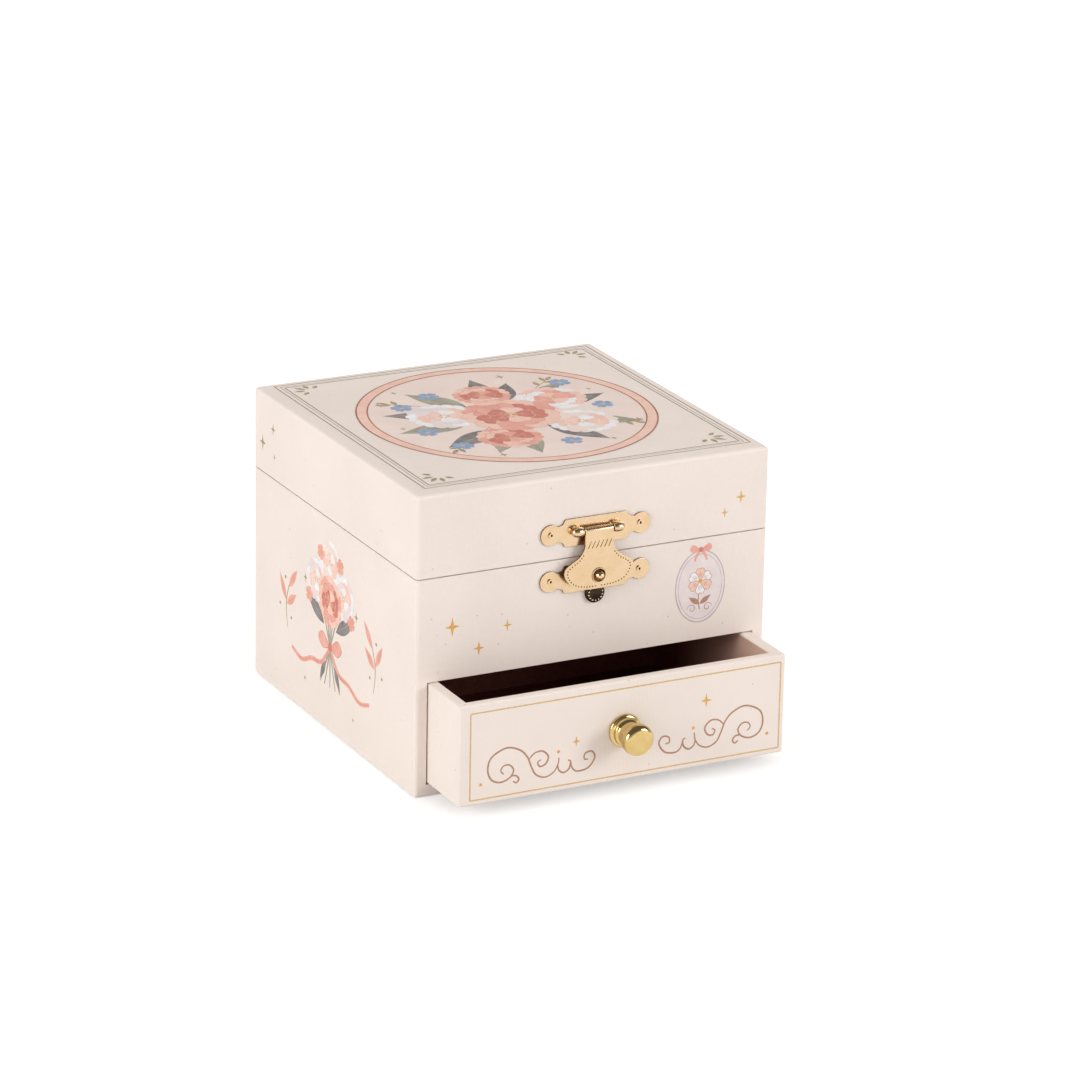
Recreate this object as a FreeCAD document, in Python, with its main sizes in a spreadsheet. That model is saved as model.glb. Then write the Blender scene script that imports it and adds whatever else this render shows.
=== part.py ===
"""Ballerina jewellery box: paper-covered carcass, hinged lid, brass hasp, drawer and musical movement.

Frame: +X right, -Y front (hasp and drawer side), +Z up. The origin is the middle of the base's underside.
All sizes are millimetres. The lid and hasp are shut, and the drawer stands part way out.
"""
import FreeCAD, Part
import math
import os

import Sketcher

SIZES = {
    # carcass and lid
    "width": 112.0,
    "depth": 112.0,
    "height": 90.0,
    "lid_height": 24.8,
    "wrap": 0.5,
    "wrap_lift": 0.4,
    "corner_radius": 1.1,
    "board": 3.1,
    "base_board": 3.5,
    "seam": 0.35,
    "movement_head": 1.5,
    "tray_floor": 3.0,
    "partition": 2.5,
    "lining": 1.0,
    "lining_gap": 0.4,
    "mirror_width": 78.0,
    "mirror_depth": 62.0,
    "mirror_thick": 1.2,
    "mirror_corner": 6.0,
    # drawer
    "drawer_out": 20.25,
    "drawer_end_gap": 1.0,
    "drawer_side_gap": 0.45,
    "drawer_under_gap": 0.4,
    "drawer_over_gap": 0.33,
    "drawer_front": 3.0,
    "drawer_wall": 3.4,
    "drawer_back": 3.0,
    "drawer_bottom": 2.5,
    "knob_foot_radius": 4.95,
    "knob_foot": 1.5,
    "knob_neck_radius": 3.3,
    "knob_neck": 4.2,
    "knob_head_radius": 4.7,
    "knob_head": 4.6,
    "knob_round": 1.3,
    "knob_screw_radius": 1.5,
    "knob_screw_reach": 5.0,
    "knob_screw_head_radius": 2.8,
    "knob_screw_head": 1.7,
    # hinges
    "hinge_width": 20.0,
    "hinge_place": 32.0,
    "hinge_knuckle_radius": 1.3,
    "hinge_pin_radius": 0.6,
    "hinge_leaf": 0.6,
    "hinge_leaf_height": 8.5,
    "hinge_axis_offset": 1.5,
    "knuckle_gap": 0.2,
    "nail_shank": 0.7,
    "nail_reach": 2.6,
    "nail_head_radius": 0.95,
    "nail_head": 0.4,
    "hinge_nail_place": 6.4,
    "hinge_nail_drop": 5.6,
    # hasp
    "hasp_plate": 0.5,
    "hasp_top_rise": 7.8,
    "hasp_bottom_drop": 6.1,
    "hasp_body_half": 9.8,
    "hasp_body_rise": 4.5,
    "hasp_lobe_radius": 3.1,
    "hasp_lobe_place": 14.4,
    "hasp_waist": 12.3,
    "hasp_waist_radius": 2.6,
    "hasp_nail_place": 14.2,
    "hasp_pin_rise": 8.1,
    "hasp_pin_offset": 1.75,
    "hasp_pin_radius": 0.5,
    "hasp_knuckle_radius": 1.2,
    "hasp_knuckle_length": 5.0,
    "hasp_curl_radius": 1.1,
    "hasp_neck_half": 4.45,
    "hasp_neck_gap": 0.25,
    "flap_neck": 4.1,
    "flap_shoulder_half": 9.7,
    "flap_shoulder_rise": 4.1,
    "flap_corner_half": 9.0,
    "flap_corner_drop": 1.0,
    "flap_foot_half": 6.2,
    "flap_foot_drop": 2.9,
    "flap_flare_radius": 7.0,
    "flap_corner_radius": 2.8,
    "flap_foot_radius": 24.0,
    "hasp_stud_drop": 5.2,
    "hasp_stud_radius": 0.9,
    "hasp_ball_radius": 1.35,
    "hasp_ring_radius": 1.95,
    "rosette_drop": 11.2,
    "rosette_radius": 3.0,
    "rosette_rise": 1.2,
    "rosette_bevel": 0.6,
    # movement: bed and gear train
    "bed_thick": 2.5,
    "bed_margin": 5.0,
    "ear_half": 6.0,
    "ear_margin": 4.0,
    "lower_ear": 1.2,
    "upper_ear": 1.6,
    "addendum": 0.8,
    "dedendum": 1.2,
    "tooth_foot": 0.66,
    "tooth_tip": 0.3,
    "barrel_radius": 10.0,
    "barrel_wall": 0.6,
    "barrel_web": 1.4,
    "barrel_length": 11.0,
    "barrel_gap": 0.5,
    "flange_edge": 0.3,
    "contrate_module": 0.7,
    "contrate_teeth": 30.0,
    "contrate_face": 1.2,
    "contrate_tooth": 0.4,
    "contrate_gap": 0.54,
    "contrate_bottom_gap": 0.49,
    "pinion_teeth": 16.0,
    "cylinder_radius": 5.0,
    "cylinder_gap": 0.9,
    "cylinder_length": 18.0,
    "tune_pin": 0.4,
    "tune_pin_rise": 0.3,
    "spindle_radius": 1.0,
    "drive_module": 0.5,
    "drive_teeth": 34.0,
    "drive_gap": 0.8,
    "drive_face": 1.5,
    # movement: governor
    "governor_teeth": 8.0,
    "governor_arbor_radius": 0.7,
    "worm_module": 0.4,
    "worm_wheel_teeth": 20.0,
    "worm_wheel_face": 1.6,
    "worm_rise": 1.0,
    "worm_pitch_radius": 1.5,
    "worm_radius": 1.0,
    "worm_span": 13.0,
    "worm_arbor_radius": 0.6,
    "fan_radius": 5.0,
    "fan_width": 1.5,
    "fan_vane": 0.4,
    # movement: comb, mainspring and key
    "comb_teeth": 18.0,
    "comb_pitch": 0.9,
    "comb_slot": 0.28,
    "comb_thick": 0.9,
    "comb_gap": 0.45,
    "comb_tooth_length": 7.25,
    "comb_base": 9.0,
    "comb_screw_reach": 5.0,
    "arbor_radius": 2.0,
    "arbor_hub_step": 0.8,
    "spring_turns": 4.0,
    "spring_thick": 0.4,
    "spring_width": 8.4,
    "spring_gap": 0.2,
    "key_hub_step": 1.2,
    "key_hub": 9.0,
    "key_stand": 2.0,
    "key_wing_half": 11.0,
    "key_wing_rise": 10.0,
    "key_wing_thick": 1.8,
    "key_eye_radius": 2.6,
    "back_hole_gap": 2.0,
    "screw_radius": 1.2,
    "screw_head_radius": 2.4,
    "screw_head": 1.2,
    "bed_screw_inset": 7.0,
    "bed_screw_drop": 8.0,
    "bed_screw_rise": 11.5,
    # movement: stop wire
    "wire_radius": 0.7,
    "wire_sides": 8.0,
    "wire_place": 34.0,
    "wire_offset": 0.9,
    "wire_gap": 2.0,
    "wire_bend": 2.5,
    "wire_groove": 2.4,
    # dancer: radii, and levels as shares of the figure's own height
    "table_radius": 8.0,
    "table_thick": 1.6,
    "table_gap": 0.5,
    "dancer_gap": 1.6,
    "toe_radius": 0.8,
    "ankle_radius": 1.0,
    "calf_radius": 1.7,
    "knee_radius": 1.4,
    "hip_radius": 2.4,
    "waist_radius": 1.9,
    "bust_radius": 2.6,
    "shoulder_radius": 2.5,
    "neck_radius": 1.0,
    "head_radius": 2.9,
    "bun_radius": 1.4,
    "ankle_level": 0.066,
    "calf_level": 0.2,
    "knee_level": 0.264,
    "hip_level": 0.418,
    "waist_level": 0.464,
    "bust_level": 0.55,
    "shoulder_level": 0.592,
    "neck_level": 0.626,
    "chin_level": 0.661,
    "arm_place": 2.2,
    "arm_radius": 0.75,
    "arm_sides": 8.0,
    "hand_place": 1.6,
    "arm_bow": 6.0,
    "tutu_radius": 13.0,
    "tutu_edge": 0.9,
    "tutu_thick": 1.9,
    "tutu_crown": 0.5,
    "tutu_gap": 0.35,
    # running and fitting clearances
    "fit": 0.02,
    "running": 0.05,
    "clearance": 0.6,
}

doc = FreeCAD.newDocument("jewellery_box")
sheet = doc.addObject("Spreadsheet::Sheet", "Sheet")
for row, (alias, number) in enumerate(SIZES.items(), start=1):
    sheet.set(f"A{row}", alias)
    sheet.set(f"B{row}", str(number))
    sheet.setAlias(f"B{row}", alias)
doc.recompute()


class Size:
    """A number with the sheet expression that it comes from."""

    def __init__(self, text, value):
        self.text = text
        self.value = value

    @staticmethod
    def of(item):
        """Return item as a Size, so that plain numbers mix with sheet values."""
        if isinstance(item, Size):
            return item
        return Size(f"({float(item)!r})", float(item))

    def __add__(self, other):
        other = Size.of(other)
        return Size(f"({self.text} + {other.text})", self.value + other.value)

    def __sub__(self, other):
        other = Size.of(other)
        return Size(f"({self.text} - {other.text})", self.value - other.value)

    def __mul__(self, other):
        other = Size.of(other)
        return Size(f"({self.text} * {other.text})", self.value * other.value)

    def __truediv__(self, other):
        other = Size.of(other)
        return Size(f"({self.text} / {other.text})", self.value / other.value)

    def __radd__(self, other):
        return Size.of(other) + self

    def __rsub__(self, other):
        return Size.of(other) - self

    def __rmul__(self, other):
        return Size.of(other) * self

    def __neg__(self):
        return Size.of(0) - self


def root(size):
    """The square root of a Size."""
    return Size(f"sqrt({size.text})", math.sqrt(size.value))


class Sheet:
    """The sheet's cells as Sizes, by alias."""

    def __getattr__(self, alias):
        return Size(f"Sheet.{alias}", float(sheet.get(alias)))


s = Sheet()
nodes = []


def bind(item, **sizes):
    """Bind properties of a document object to Sizes; place_x, place_y and place_z set its Placement."""
    for name, size in sizes.items():
        if name.startswith("place_"):
            name = f"Placement.Base.{name[-1]}"
        item.setExpression(name, Size.of(size).text)
    return item


def node(item, label):
    """Name a finished sub-part; its Label names its file."""
    item.Label = label
    nodes.append(item)
    return item


# Part primitives and booleans

ALONG_X = FreeCAD.Rotation(FreeCAD.Vector(0, 1, 0), 90)
ALONG_BACK = FreeCAD.Rotation(FreeCAD.Vector(1, 0, 0), -90)
ALONG_FRONT = FreeCAD.Rotation(FreeCAD.Vector(1, 0, 0), 90)
UPRIGHT = FreeCAD.Rotation()


def box(name, x, y, z):
    """A Part::Box between two corners; x, y and z are (low, high) pairs."""
    item = doc.addObject("Part::Box", name)
    bind(item, Length=x[1] - x[0], Width=y[1] - y[0], Height=z[1] - z[0])
    return bind(item, place_x=x[0], place_y=y[0], place_z=z[0])


def cylinder(name, radius, length, start, turn=UPRIGHT):
    """A Part::Cylinder from a start point, along +Z turned by a Rotation."""
    item = doc.addObject("Part::Cylinder", name)
    item.Placement.Rotation = turn
    bind(item, Radius=radius, Height=length)
    return bind(item, place_x=start[0], place_y=start[1], place_z=start[2])


def drill(name, radius, x, z, y):
    """A round cutter along Y, passing a little beyond both ends of the span y."""
    start = (Size.of(x), y[0] - s.clearance, Size.of(z))
    return cylinder(name, radius, y[1] - y[0] + s.clearance * 2, start, ALONG_BACK)


def drill_down(name, radius, x, y, z):
    """A round cutter along Z, passing a little beyond both ends of the span z."""
    start = (Size.of(x), Size.of(y), z[0] - s.clearance)
    return cylinder(name, radius, z[1] - z[0] + s.clearance * 2, start)


def fuse(name, *items):
    """A Part::MultiFuse of the items."""
    item = doc.addObject("Part::MultiFuse", name)
    item.Shapes = list(items)
    return item


def cut(name, base, *tools):
    """A Part::Cut of base by one tool, or by the fusion of several."""
    item = doc.addObject("Part::Cut", name)
    item.Base = base
    item.Tool = tools[0] if len(tools) == 1 else fuse(f"{name}_tools", *tools)
    return item


def group(name, *items):
    """A Part::Compound of separate solids."""
    item = doc.addObject("Part::Compound", name)
    item.Links = list(items)
    return item


# PartDesign bodies and sketches

def new_body(label, x=0, y=0, z=0, turn=UPRIGHT):
    """An empty PartDesign::Body at a place bound to Sizes."""
    body = doc.addObject("PartDesign::Body", label)
    body.Placement.Rotation = turn
    bind(body, place_x=x, place_y=y, place_z=z)
    return node(body, label)


def origin_item(body, role):
    """The origin plane or axis of a body with this Role."""
    return next(item for item in body.Origin.OriginFeatures if item.Role == role)


def sketch_on(body, role, lift=0):
    """A sketch attached to one of the body's origin planes, lifted along the plane's normal."""
    sketch = body.newObject("Sketcher::SketchObject", f"{body.Name}_sketch")
    sketch.AttachmentSupport = [(origin_item(body, role), "")]
    sketch.MapMode = "FlatFace"
    sketch.setExpression("AttachmentOffset.Base.z", Size.of(lift).text)
    return sketch


def fix_point(sketch, geometry, end, x, y):
    """Fix a point of a sketch: on an axis where a coordinate is 0, else at a bound distance from it."""
    for kind, size, axis in (("DistanceX", Size.of(x), -2), ("DistanceY", Size.of(y), -1)):
        if size.value == 0:
            sketch.addConstraint(Sketcher.Constraint("PointOnObject", geometry, end, axis))
            continue
        index = sketch.addConstraint(Sketcher.Constraint(kind, -1, 1, geometry, end, size.value))
        name = f"{kind}_{index}"
        sketch.renameConstraint(index, name)
        sketch.setExpression(f"Constraints.{name}", size.text)


def fix_radius(sketch, geometry, radius):
    """Bind the radius of a circle or arc of a sketch."""
    radius = Size.of(radius)
    index = sketch.addConstraint(Sketcher.Constraint("Radius", geometry, radius.value))
    name = f"Radius_{index}"
    sketch.renameConstraint(index, name)
    sketch.setExpression(f"Constraints.{name}", radius.text)


def arc_edge(start, end, radius, left):
    """An arc under a half circle between two points; left says that its centre is left of start to end."""
    chord = end - start
    middle = (start + end) * 0.5
    rise = math.sqrt(max(radius**2 - (chord.Length / 2) ** 2, 0))
    across = FreeCAD.Vector(-chord.y, chord.x, 0).normalize() * (rise if left else -rise)
    centre = middle + across
    first, last = (start, end) if left else (end, start)
    angles = [math.atan2(point.y - centre.y, point.x - centre.x) for point in (first, last)]
    return Part.ArcOfCircle(Part.Circle(centre, FreeCAD.Vector(0, 0, 1), radius), *angles)


def outline(sketch, points, arcs=None):
    """A closed outline through points given as pairs of Sizes.

    arcs maps the index of a point to the radius of the arc that starts there: above zero the arc's centre
    is on the left of the way round, below zero on the right. Every other edge is straight.
    """
    arcs = arcs or {}
    seeds = [FreeCAD.Vector(Size.of(x).value, Size.of(y).value, 0) for x, y in points]
    ends = []
    for index, start in enumerate(seeds):
        stop = seeds[(index + 1) % len(seeds)]
        if index not in arcs:
            geometry = sketch.addGeometry(Part.LineSegment(start, stop), False)
            ends.append((geometry, 1, 2))
            continue
        radius, left = arcs[index]
        geometry = sketch.addGeometry(arc_edge(start, stop, Size.of(radius).value, left), False)
        ends.append((geometry, 1, 2) if left else (geometry, 2, 1))
    for index, (geometry, first, last) in enumerate(ends):
        following, following_first, _ = ends[(index + 1) % len(ends)]
        sketch.addConstraint(
            Sketcher.Constraint("Coincident", geometry, last, following, following_first)
        )
        fix_point(sketch, geometry, first, *points[index])
    for index, (radius, _) in arcs.items():
        fix_radius(sketch, ends[index][0], radius)


def circle(sketch, x, y, radius):
    """A circle of a sketch, with its centre and radius bound."""
    centre = FreeCAD.Vector(Size.of(x).value, Size.of(y).value, 0)
    normal = FreeCAD.Vector(0, 0, 1)
    geometry = sketch.addGeometry(Part.Circle(centre, normal, Size.of(radius).value), False)
    fix_point(sketch, geometry, 3, x, y)
    fix_radius(sketch, geometry, radius)


def rectangle(sketch, x, y):
    """A rectangle of a sketch; x and y are (low, high) pairs."""
    outline(sketch, [(x[0], y[0]), (x[1], y[0]), (x[1], y[1]), (x[0], y[1])])


def pad(body, sketch, length):
    """Pad a sketch along its normal."""
    feature = body.newObject("PartDesign::Pad", f"{body.Name}_pad")
    feature.Profile = sketch
    bind(feature, Length=length)
    return feature


def revolve(body, sketch):
    """Turn a profile round the sketch's vertical axis."""
    feature = body.newObject("PartDesign::Revolution", f"{body.Name}_turn")
    feature.Profile = sketch
    feature.ReferenceAxis = (sketch, ["V_Axis"])
    feature.Angle = 360
    return feature


def polar(body, feature, count):
    """Repeat a feature round the body's Z axis."""
    pattern = body.newObject("PartDesign::PolarPattern", f"{body.Name}_ring")
    pattern.Originals = [feature]
    pattern.Axis = (origin_item(body, "Z_Axis"), [""])
    pattern.Angle = 360
    bind(pattern, Occurrences=count)
    body.Tip = pattern
    return pattern


def mirrored(body, *features):
    """Mirror features across the body's YZ plane."""
    mirror = body.newObject("PartDesign::Mirrored", f"{body.Name}_mirror")
    mirror.Originals = list(features)
    mirror.MirrorPlane = (origin_item(body, "YZ_Plane"), [""])
    body.Tip = mirror
    return mirror


class Gear:
    """A gear's radii and tooth widths, from its number of teeth and its module."""

    def __init__(self, teeth, module):
        self.teeth = teeth
        self.pitch = module * teeth / 2
        self.tip = self.pitch + module * s.addendum
        self.root = self.pitch - module * s.dedendum
        self.root_half = module * s.tooth_foot
        self.tip_half = module * s.tooth_tip


# Shared planes of the carcass

half_x = s.width / 2
half_y = s.depth / 2
board_x = half_x - s.wrap
board_y = half_y - s.wrap
inner_x = board_x - s.board
inner_y = board_y - s.board
front = -half_y
rim_z = s.height - s.lid_height
lid_bottom = rim_z + s.seam
lid_board_top = s.height - s.wrap
lid_board_bottom = lid_board_top - s.board
mirror_bottom = lid_board_bottom - s.lining - s.mirror_thick

# Places of the movement, which hangs on the back panel and stands on the base board

contrate = Gear(s.contrate_teeth, s.contrate_module)
pinion = Gear(s.pinion_teeth, s.contrate_module)
drive = Gear(s.drive_teeth, s.drive_module)
governor_pinion = Gear(s.governor_teeth, s.drive_module)
worm_wheel = Gear(s.worm_wheel_teeth, s.worm_module)
flange_radius = contrate.pitch + s.contrate_face / 2 + s.flange_edge
bed_front = inner_y - s.bed_thick
barrel_back = bed_front - s.clearance * 2
barrel_front = barrel_back - s.barrel_length
cylinder_y = barrel_front - s.contrate_gap - pinion.tip
governor_x = drive.pitch + governor_pinion.pitch
worm_x = governor_x + worm_wheel.pitch + s.worm_pitch_radius
ear_bottom = s.base_board + s.drawer_under_gap
barrel_z = ear_bottom + s.lower_ear + s.barrel_gap + flange_radius
pinion_z = barrel_z - contrate.pitch
cylinder_bottom = pinion_z + s.contrate_face / 2 + s.cylinder_gap
drive_bottom = barrel_z + flange_radius + s.drive_gap
upper_ear_bottom = drive_bottom + s.drive_face + s.clearance
ear_top = upper_ear_bottom + s.upper_ear
ear_front = cylinder_y - s.ear_margin
worm_z = barrel_z + s.worm_rise
comb_tip = s.cylinder_radius + s.tune_pin_rise + s.comb_gap
comb_root = comb_tip + s.comb_tooth_length
comb_end = comb_root + s.comb_base
bed_half = comb_end + s.bed_margin
arbor_hub = s.arbor_radius + s.arbor_hub_step
wire_level = worm_z + s.fan_radius + s.wire_gap

# Places of the tray, the drawer bay and the dancer, which follow from the movement

bay_top = ear_top + s.movement_head
tray_top = bay_top + s.tray_floor
partition_back = cylinder_y - drive.tip - s.clearance
partition_front = partition_back - s.partition
fan_front = partition_back + s.clearance * 2
table_bottom = tray_top + s.lining + s.table_gap
figure_foot = table_bottom + s.table_thick
figure_height = mirror_bottom - figure_foot - s.dancer_gap


def both(size):
    """The (low, high) pair of a span centred on zero."""
    return (-size, size)


def rounded_block(name, z, top_edges):
    """A block of the outer plan, with its upright edges rounded and, on request, its top edges too."""
    block = box(f"{name}_block", both(half_x), both(half_y), z)
    doc.recompute()
    chosen = []
    for index, edge in enumerate(block.Shape.Edges, start=1):
        low, high = edge.BoundBox.ZMin, edge.BoundBox.ZMax
        upright = high - low > s.corner_radius.value
        at_top = low > z[1].value - s.corner_radius.value
        if upright or (top_edges and at_top):
            chosen.append((index, s.corner_radius.value, s.corner_radius.value))
    item = doc.addObject("Part::Fillet", f"{name}_round")
    item.Base = block
    item.Edges = chosen
    return item


def make_carcass():
    """Boards of the box, the tray floor, the partition and the printed wrap."""
    wall_z = (s.base_board, rim_z)
    node(box("base_board", both(board_x), both(board_y), (Size.of(0), s.base_board)), "base_board")
    node(box("left_side", (-board_x, -inner_x), both(board_y), wall_z), "left_side")
    node(box("right_side", (inner_x, board_x), both(board_y), wall_z), "right_side")
    node(box("front_panel", both(inner_x), (-board_y, -inner_y), (bay_top, rim_z)), "front_panel")

    back = box("back_blank", both(inner_x), (inner_y, board_y), wall_z)
    groove_x = (-s.wire_place - s.wire_groove / 2, -s.wire_place + s.wire_groove / 2)
    groove_y = (inner_y - s.clearance, inner_y + s.wire_offset + s.wire_groove / 2)
    groove_z = (wire_level - s.wire_bend, rim_z + s.clearance)
    groove = box("wire_groove", groove_x, groove_y, groove_z)
    node(cut("back_panel", back, groove, *back_holes("panel")), "back_panel")

    floor = box("floor_blank", both(inner_x), both(inner_y), (bay_top, tray_top))
    spindle_hole = s.spindle_radius + s.clearance
    hole = drill_down("floor_hole", spindle_hole, 0, cylinder_y, (bay_top, tray_top))
    node(cut("tray_floor", floor, hole), "tray_floor")
    lining_x = both(inner_x - s.lining_gap)
    lining_y = both(inner_y - s.lining_gap)
    lining_z = (tray_top, tray_top + s.lining)
    lining = box("tray_lining_blank", lining_x, lining_y, lining_z)
    hole = drill_down("lining_hole", spindle_hole, 0, cylinder_y, lining_z)
    node(cut("tray_lining", lining, hole), "tray_lining")

    partition_y = (partition_front, partition_back)
    partition = box("movement_partition", both(inner_x), partition_y, (s.base_board, bay_top))
    node(partition, "movement_partition")

    shell = rounded_block("box_wrap", (s.wrap_lift, rim_z), False)
    core_z = (s.wrap_lift - s.clearance, rim_z + s.clearance)
    core = box("box_wrap_core", both(board_x), both(board_y), core_z)
    mouth = box("box_wrap_mouth", both(inner_x), (front - s.clearance, -inner_y), (s.base_board, bay_top))
    node(cut("box_wrap", shell, core, mouth, *back_holes("wrap")), "box_wrap")


def bed_screw_places():
    """Places (x, z) of the screws that hold the movement to the back."""
    place = bed_half - s.bed_screw_inset
    low, high = barrel_z - s.bed_screw_drop, barrel_z + s.bed_screw_rise
    return [(-place, low), (place, low), (place, high)]


def back_holes(name):
    """Holes through the back for the winding arbor and the movement's screws."""
    through = (inner_y, half_y)
    arbor = drill(f"{name}_arbor_hole", (s.arbor_radius + s.back_hole_gap), 0, barrel_z, through)
    screw = s.screw_radius + s.running
    return [arbor, *(drill(f"{name}_screw_hole", screw, x, z, through) for x, z in bed_screw_places())]


def make_lid():
    """Boards of the lid, its printed wrap, its lining and the mirror."""
    rail_z = (lid_bottom, lid_board_bottom)
    board_z = (lid_board_bottom, lid_board_top)
    node(box("lid_top_board", both(board_x), both(board_y), board_z), "lid_top_board")
    node(box("lid_front_rail", both(board_x), (-board_y, -inner_y), rail_z), "lid_front_rail")
    node(box("lid_back_rail", both(board_x), (inner_y, board_y), rail_z), "lid_back_rail")
    node(box("lid_left_rail", (-board_x, -inner_x), both(inner_y), rail_z), "lid_left_rail")
    node(box("lid_right_rail", (inner_x, board_x), both(inner_y), rail_z), "lid_right_rail")

    shell = rounded_block("lid_wrap", (lid_bottom, s.height), True)
    core = box("lid_wrap_core", both(board_x), both(board_y), (lid_bottom - s.clearance, lid_board_top))
    node(cut("lid_wrap", shell, core), "lid_wrap")

    lining_x = both(inner_x - s.lining_gap)
    lining_y = both(inner_y - s.lining_gap)
    lining_z = (lid_board_bottom - s.lining, lid_board_bottom)
    node(box("lid_lining", lining_x, lining_y, lining_z), "lid_lining")

    mirror = new_body("mirror", z=mirror_bottom)
    sketch = sketch_on(mirror, "XY_Plane")
    wide, deep, corner = s.mirror_width / 2, s.mirror_depth / 2, s.mirror_corner
    points = [
        (-wide + corner, -deep),
        (wide - corner, -deep),
        (wide, -deep + corner),
        (wide, deep - corner),
        (wide - corner, deep),
        (-wide + corner, deep),
        (-wide, deep - corner),
        (-wide, -deep + corner),
    ]
    outline(sketch, points, {index: (corner, True) for index in (1, 3, 5, 7)})
    pad(mirror, sketch, s.mirror_thick)


nail_hole = s.nail_shank * math.sqrt(0.5) + s.fit
hinge_y = half_y + s.hinge_axis_offset
hinge_z = rim_z + s.seam / 2


def nail(name, x, face_y, z, outward, plate):
    """A round-headed, square-shanked nail through a plate; outward is -1 on the front and 1 on the back."""
    turn = ALONG_BACK if outward < 0 else ALONG_FRONT
    seat = face_y + plate * outward
    tip = face_y - s.nail_reach * outward
    half = s.nail_shank / 2
    shank_y = (tip, seat) if outward > 0 else (seat, tip)
    shank = box(f"{name}_shank", (x - half, x + half), shank_y, (z - half, z + half))
    head_start = seat + s.nail_head * outward
    head = cylinder(f"{name}_head", s.nail_head_radius, s.nail_head, (x, head_start, z), turn)
    return fuse(name, shank, head)


def make_hinge(side, centre):
    """One butt hinge: the box leaf has two knuckles, the lid leaf has the one between them."""
    third = s.hinge_width / 3
    start = centre - s.hinge_width / 2
    spans = [(start + third * index, start + third * (index + 1)) for index in range(3)]
    plate_y = (half_y, half_y + s.hinge_leaf)
    knuckle_root = s.hinge_knuckle_radius + s.clearance / 2
    for part_name, sign, owned in (("box_leaf", -1, (0, 2)), ("lid_leaf", 1, (1,))):
        label = f"{side}_hinge_{part_name}"
        near = hinge_z + knuckle_root * sign
        far = hinge_z + s.hinge_leaf_height * sign
        low, high = (far, near) if sign < 0 else (near, far)
        solids = [box(f"{label}_plate", (spans[0][0], spans[2][1]), plate_y, (low, high))]
        for index in owned:
            inset_low = s.knuckle_gap / 2 if index > 0 else Size.of(0)
            inset_high = s.knuckle_gap / 2 if index < 2 else Size.of(0)
            x = (spans[index][0] + inset_low, spans[index][1] - inset_high)
            z = (near, hinge_z) if sign < 0 else (hinge_z, near)
            solids.append(box(f"{label}_web", x, plate_y, z))
            begin = (x[0], hinge_y, hinge_z)
            solids.append(cylinder(f"{label}_knuckle", s.hinge_knuckle_radius, x[1] - x[0], begin, ALONG_X))
        clearance = s.fit if sign < 0 else s.running
        axis_start = (start, hinge_y, hinge_z)
        bore = cylinder(f"{label}_bore", s.hinge_pin_radius + clearance, s.hinge_width, axis_start, ALONG_X)
        nail_z = hinge_z + s.hinge_nail_drop * sign
        holes = [
            drill(f"{label}_hole", nail_hole, centre + s.hinge_nail_place * way, nail_z, plate_y)
            for way in (-1, 1)
        ]
        node(cut(label, fuse(f"{label}_blank", *solids), bore, *holes), label)
    pin = cylinder("hinge_pin", s.hinge_pin_radius, s.hinge_width, axis_start, ALONG_X)
    node(pin, f"{side}_hinge_pin")


def make_hinges():
    """Both hinges, and the nails of their leaves as one group on each body."""
    centres = {"left": -s.hinge_place, "right": s.hinge_place}
    for side, centre in centres.items():
        make_hinge(side, centre)
    for owner, sign in (("box", -1), ("lid", 1)):
        height = hinge_z + s.hinge_nail_drop * sign
        nails = [
            nail("hinge_nail", centre + s.hinge_nail_place * way, half_y, height, 1, s.hinge_leaf)
            for centre in centres.values()
            for way in (-1, 1)
        ]
        node(group(f"hinge_nails_{owner}", *nails), f"hinge_nails_{owner}")


hasp_top_z = rim_z + s.hasp_top_rise
hasp_pin_z = rim_z + s.hasp_pin_rise
hasp_bottom_z = rim_z - s.hasp_bottom_drop
hasp_stud_z = rim_z - s.hasp_stud_drop
rosette_z = rim_z - s.rosette_drop


def plate_outline(sketch):
    """The stamped outline of a hasp plate: a middle, two waists and two round lobes with nail holes."""
    body, rise, waist = s.hasp_body_half, s.hasp_body_rise, s.hasp_waist
    tip = s.hasp_lobe_place + s.hasp_lobe_radius
    inset = s.hasp_lobe_place - waist
    neck = root(s.hasp_lobe_radius * s.hasp_lobe_radius - inset * inset)
    points = [
        (-body, -rise),
        (body, -rise),
        (waist, -neck),
        (tip, 0),
        (waist, neck),
        (body, rise),
        (-body, rise),
        (-waist, neck),
        (-tip, 0),
        (-waist, -neck),
    ]
    arcs = {index: (s.hasp_waist_radius, False) for index in (1, 4, 6, 9)}
    arcs.update({index: (s.hasp_lobe_radius, True) for index in (2, 3, 7, 8)})
    outline(sketch, points, arcs)
    for way in (-1, 1):
        circle(sketch, s.hasp_nail_place * way, 0, nail_hole)


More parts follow.
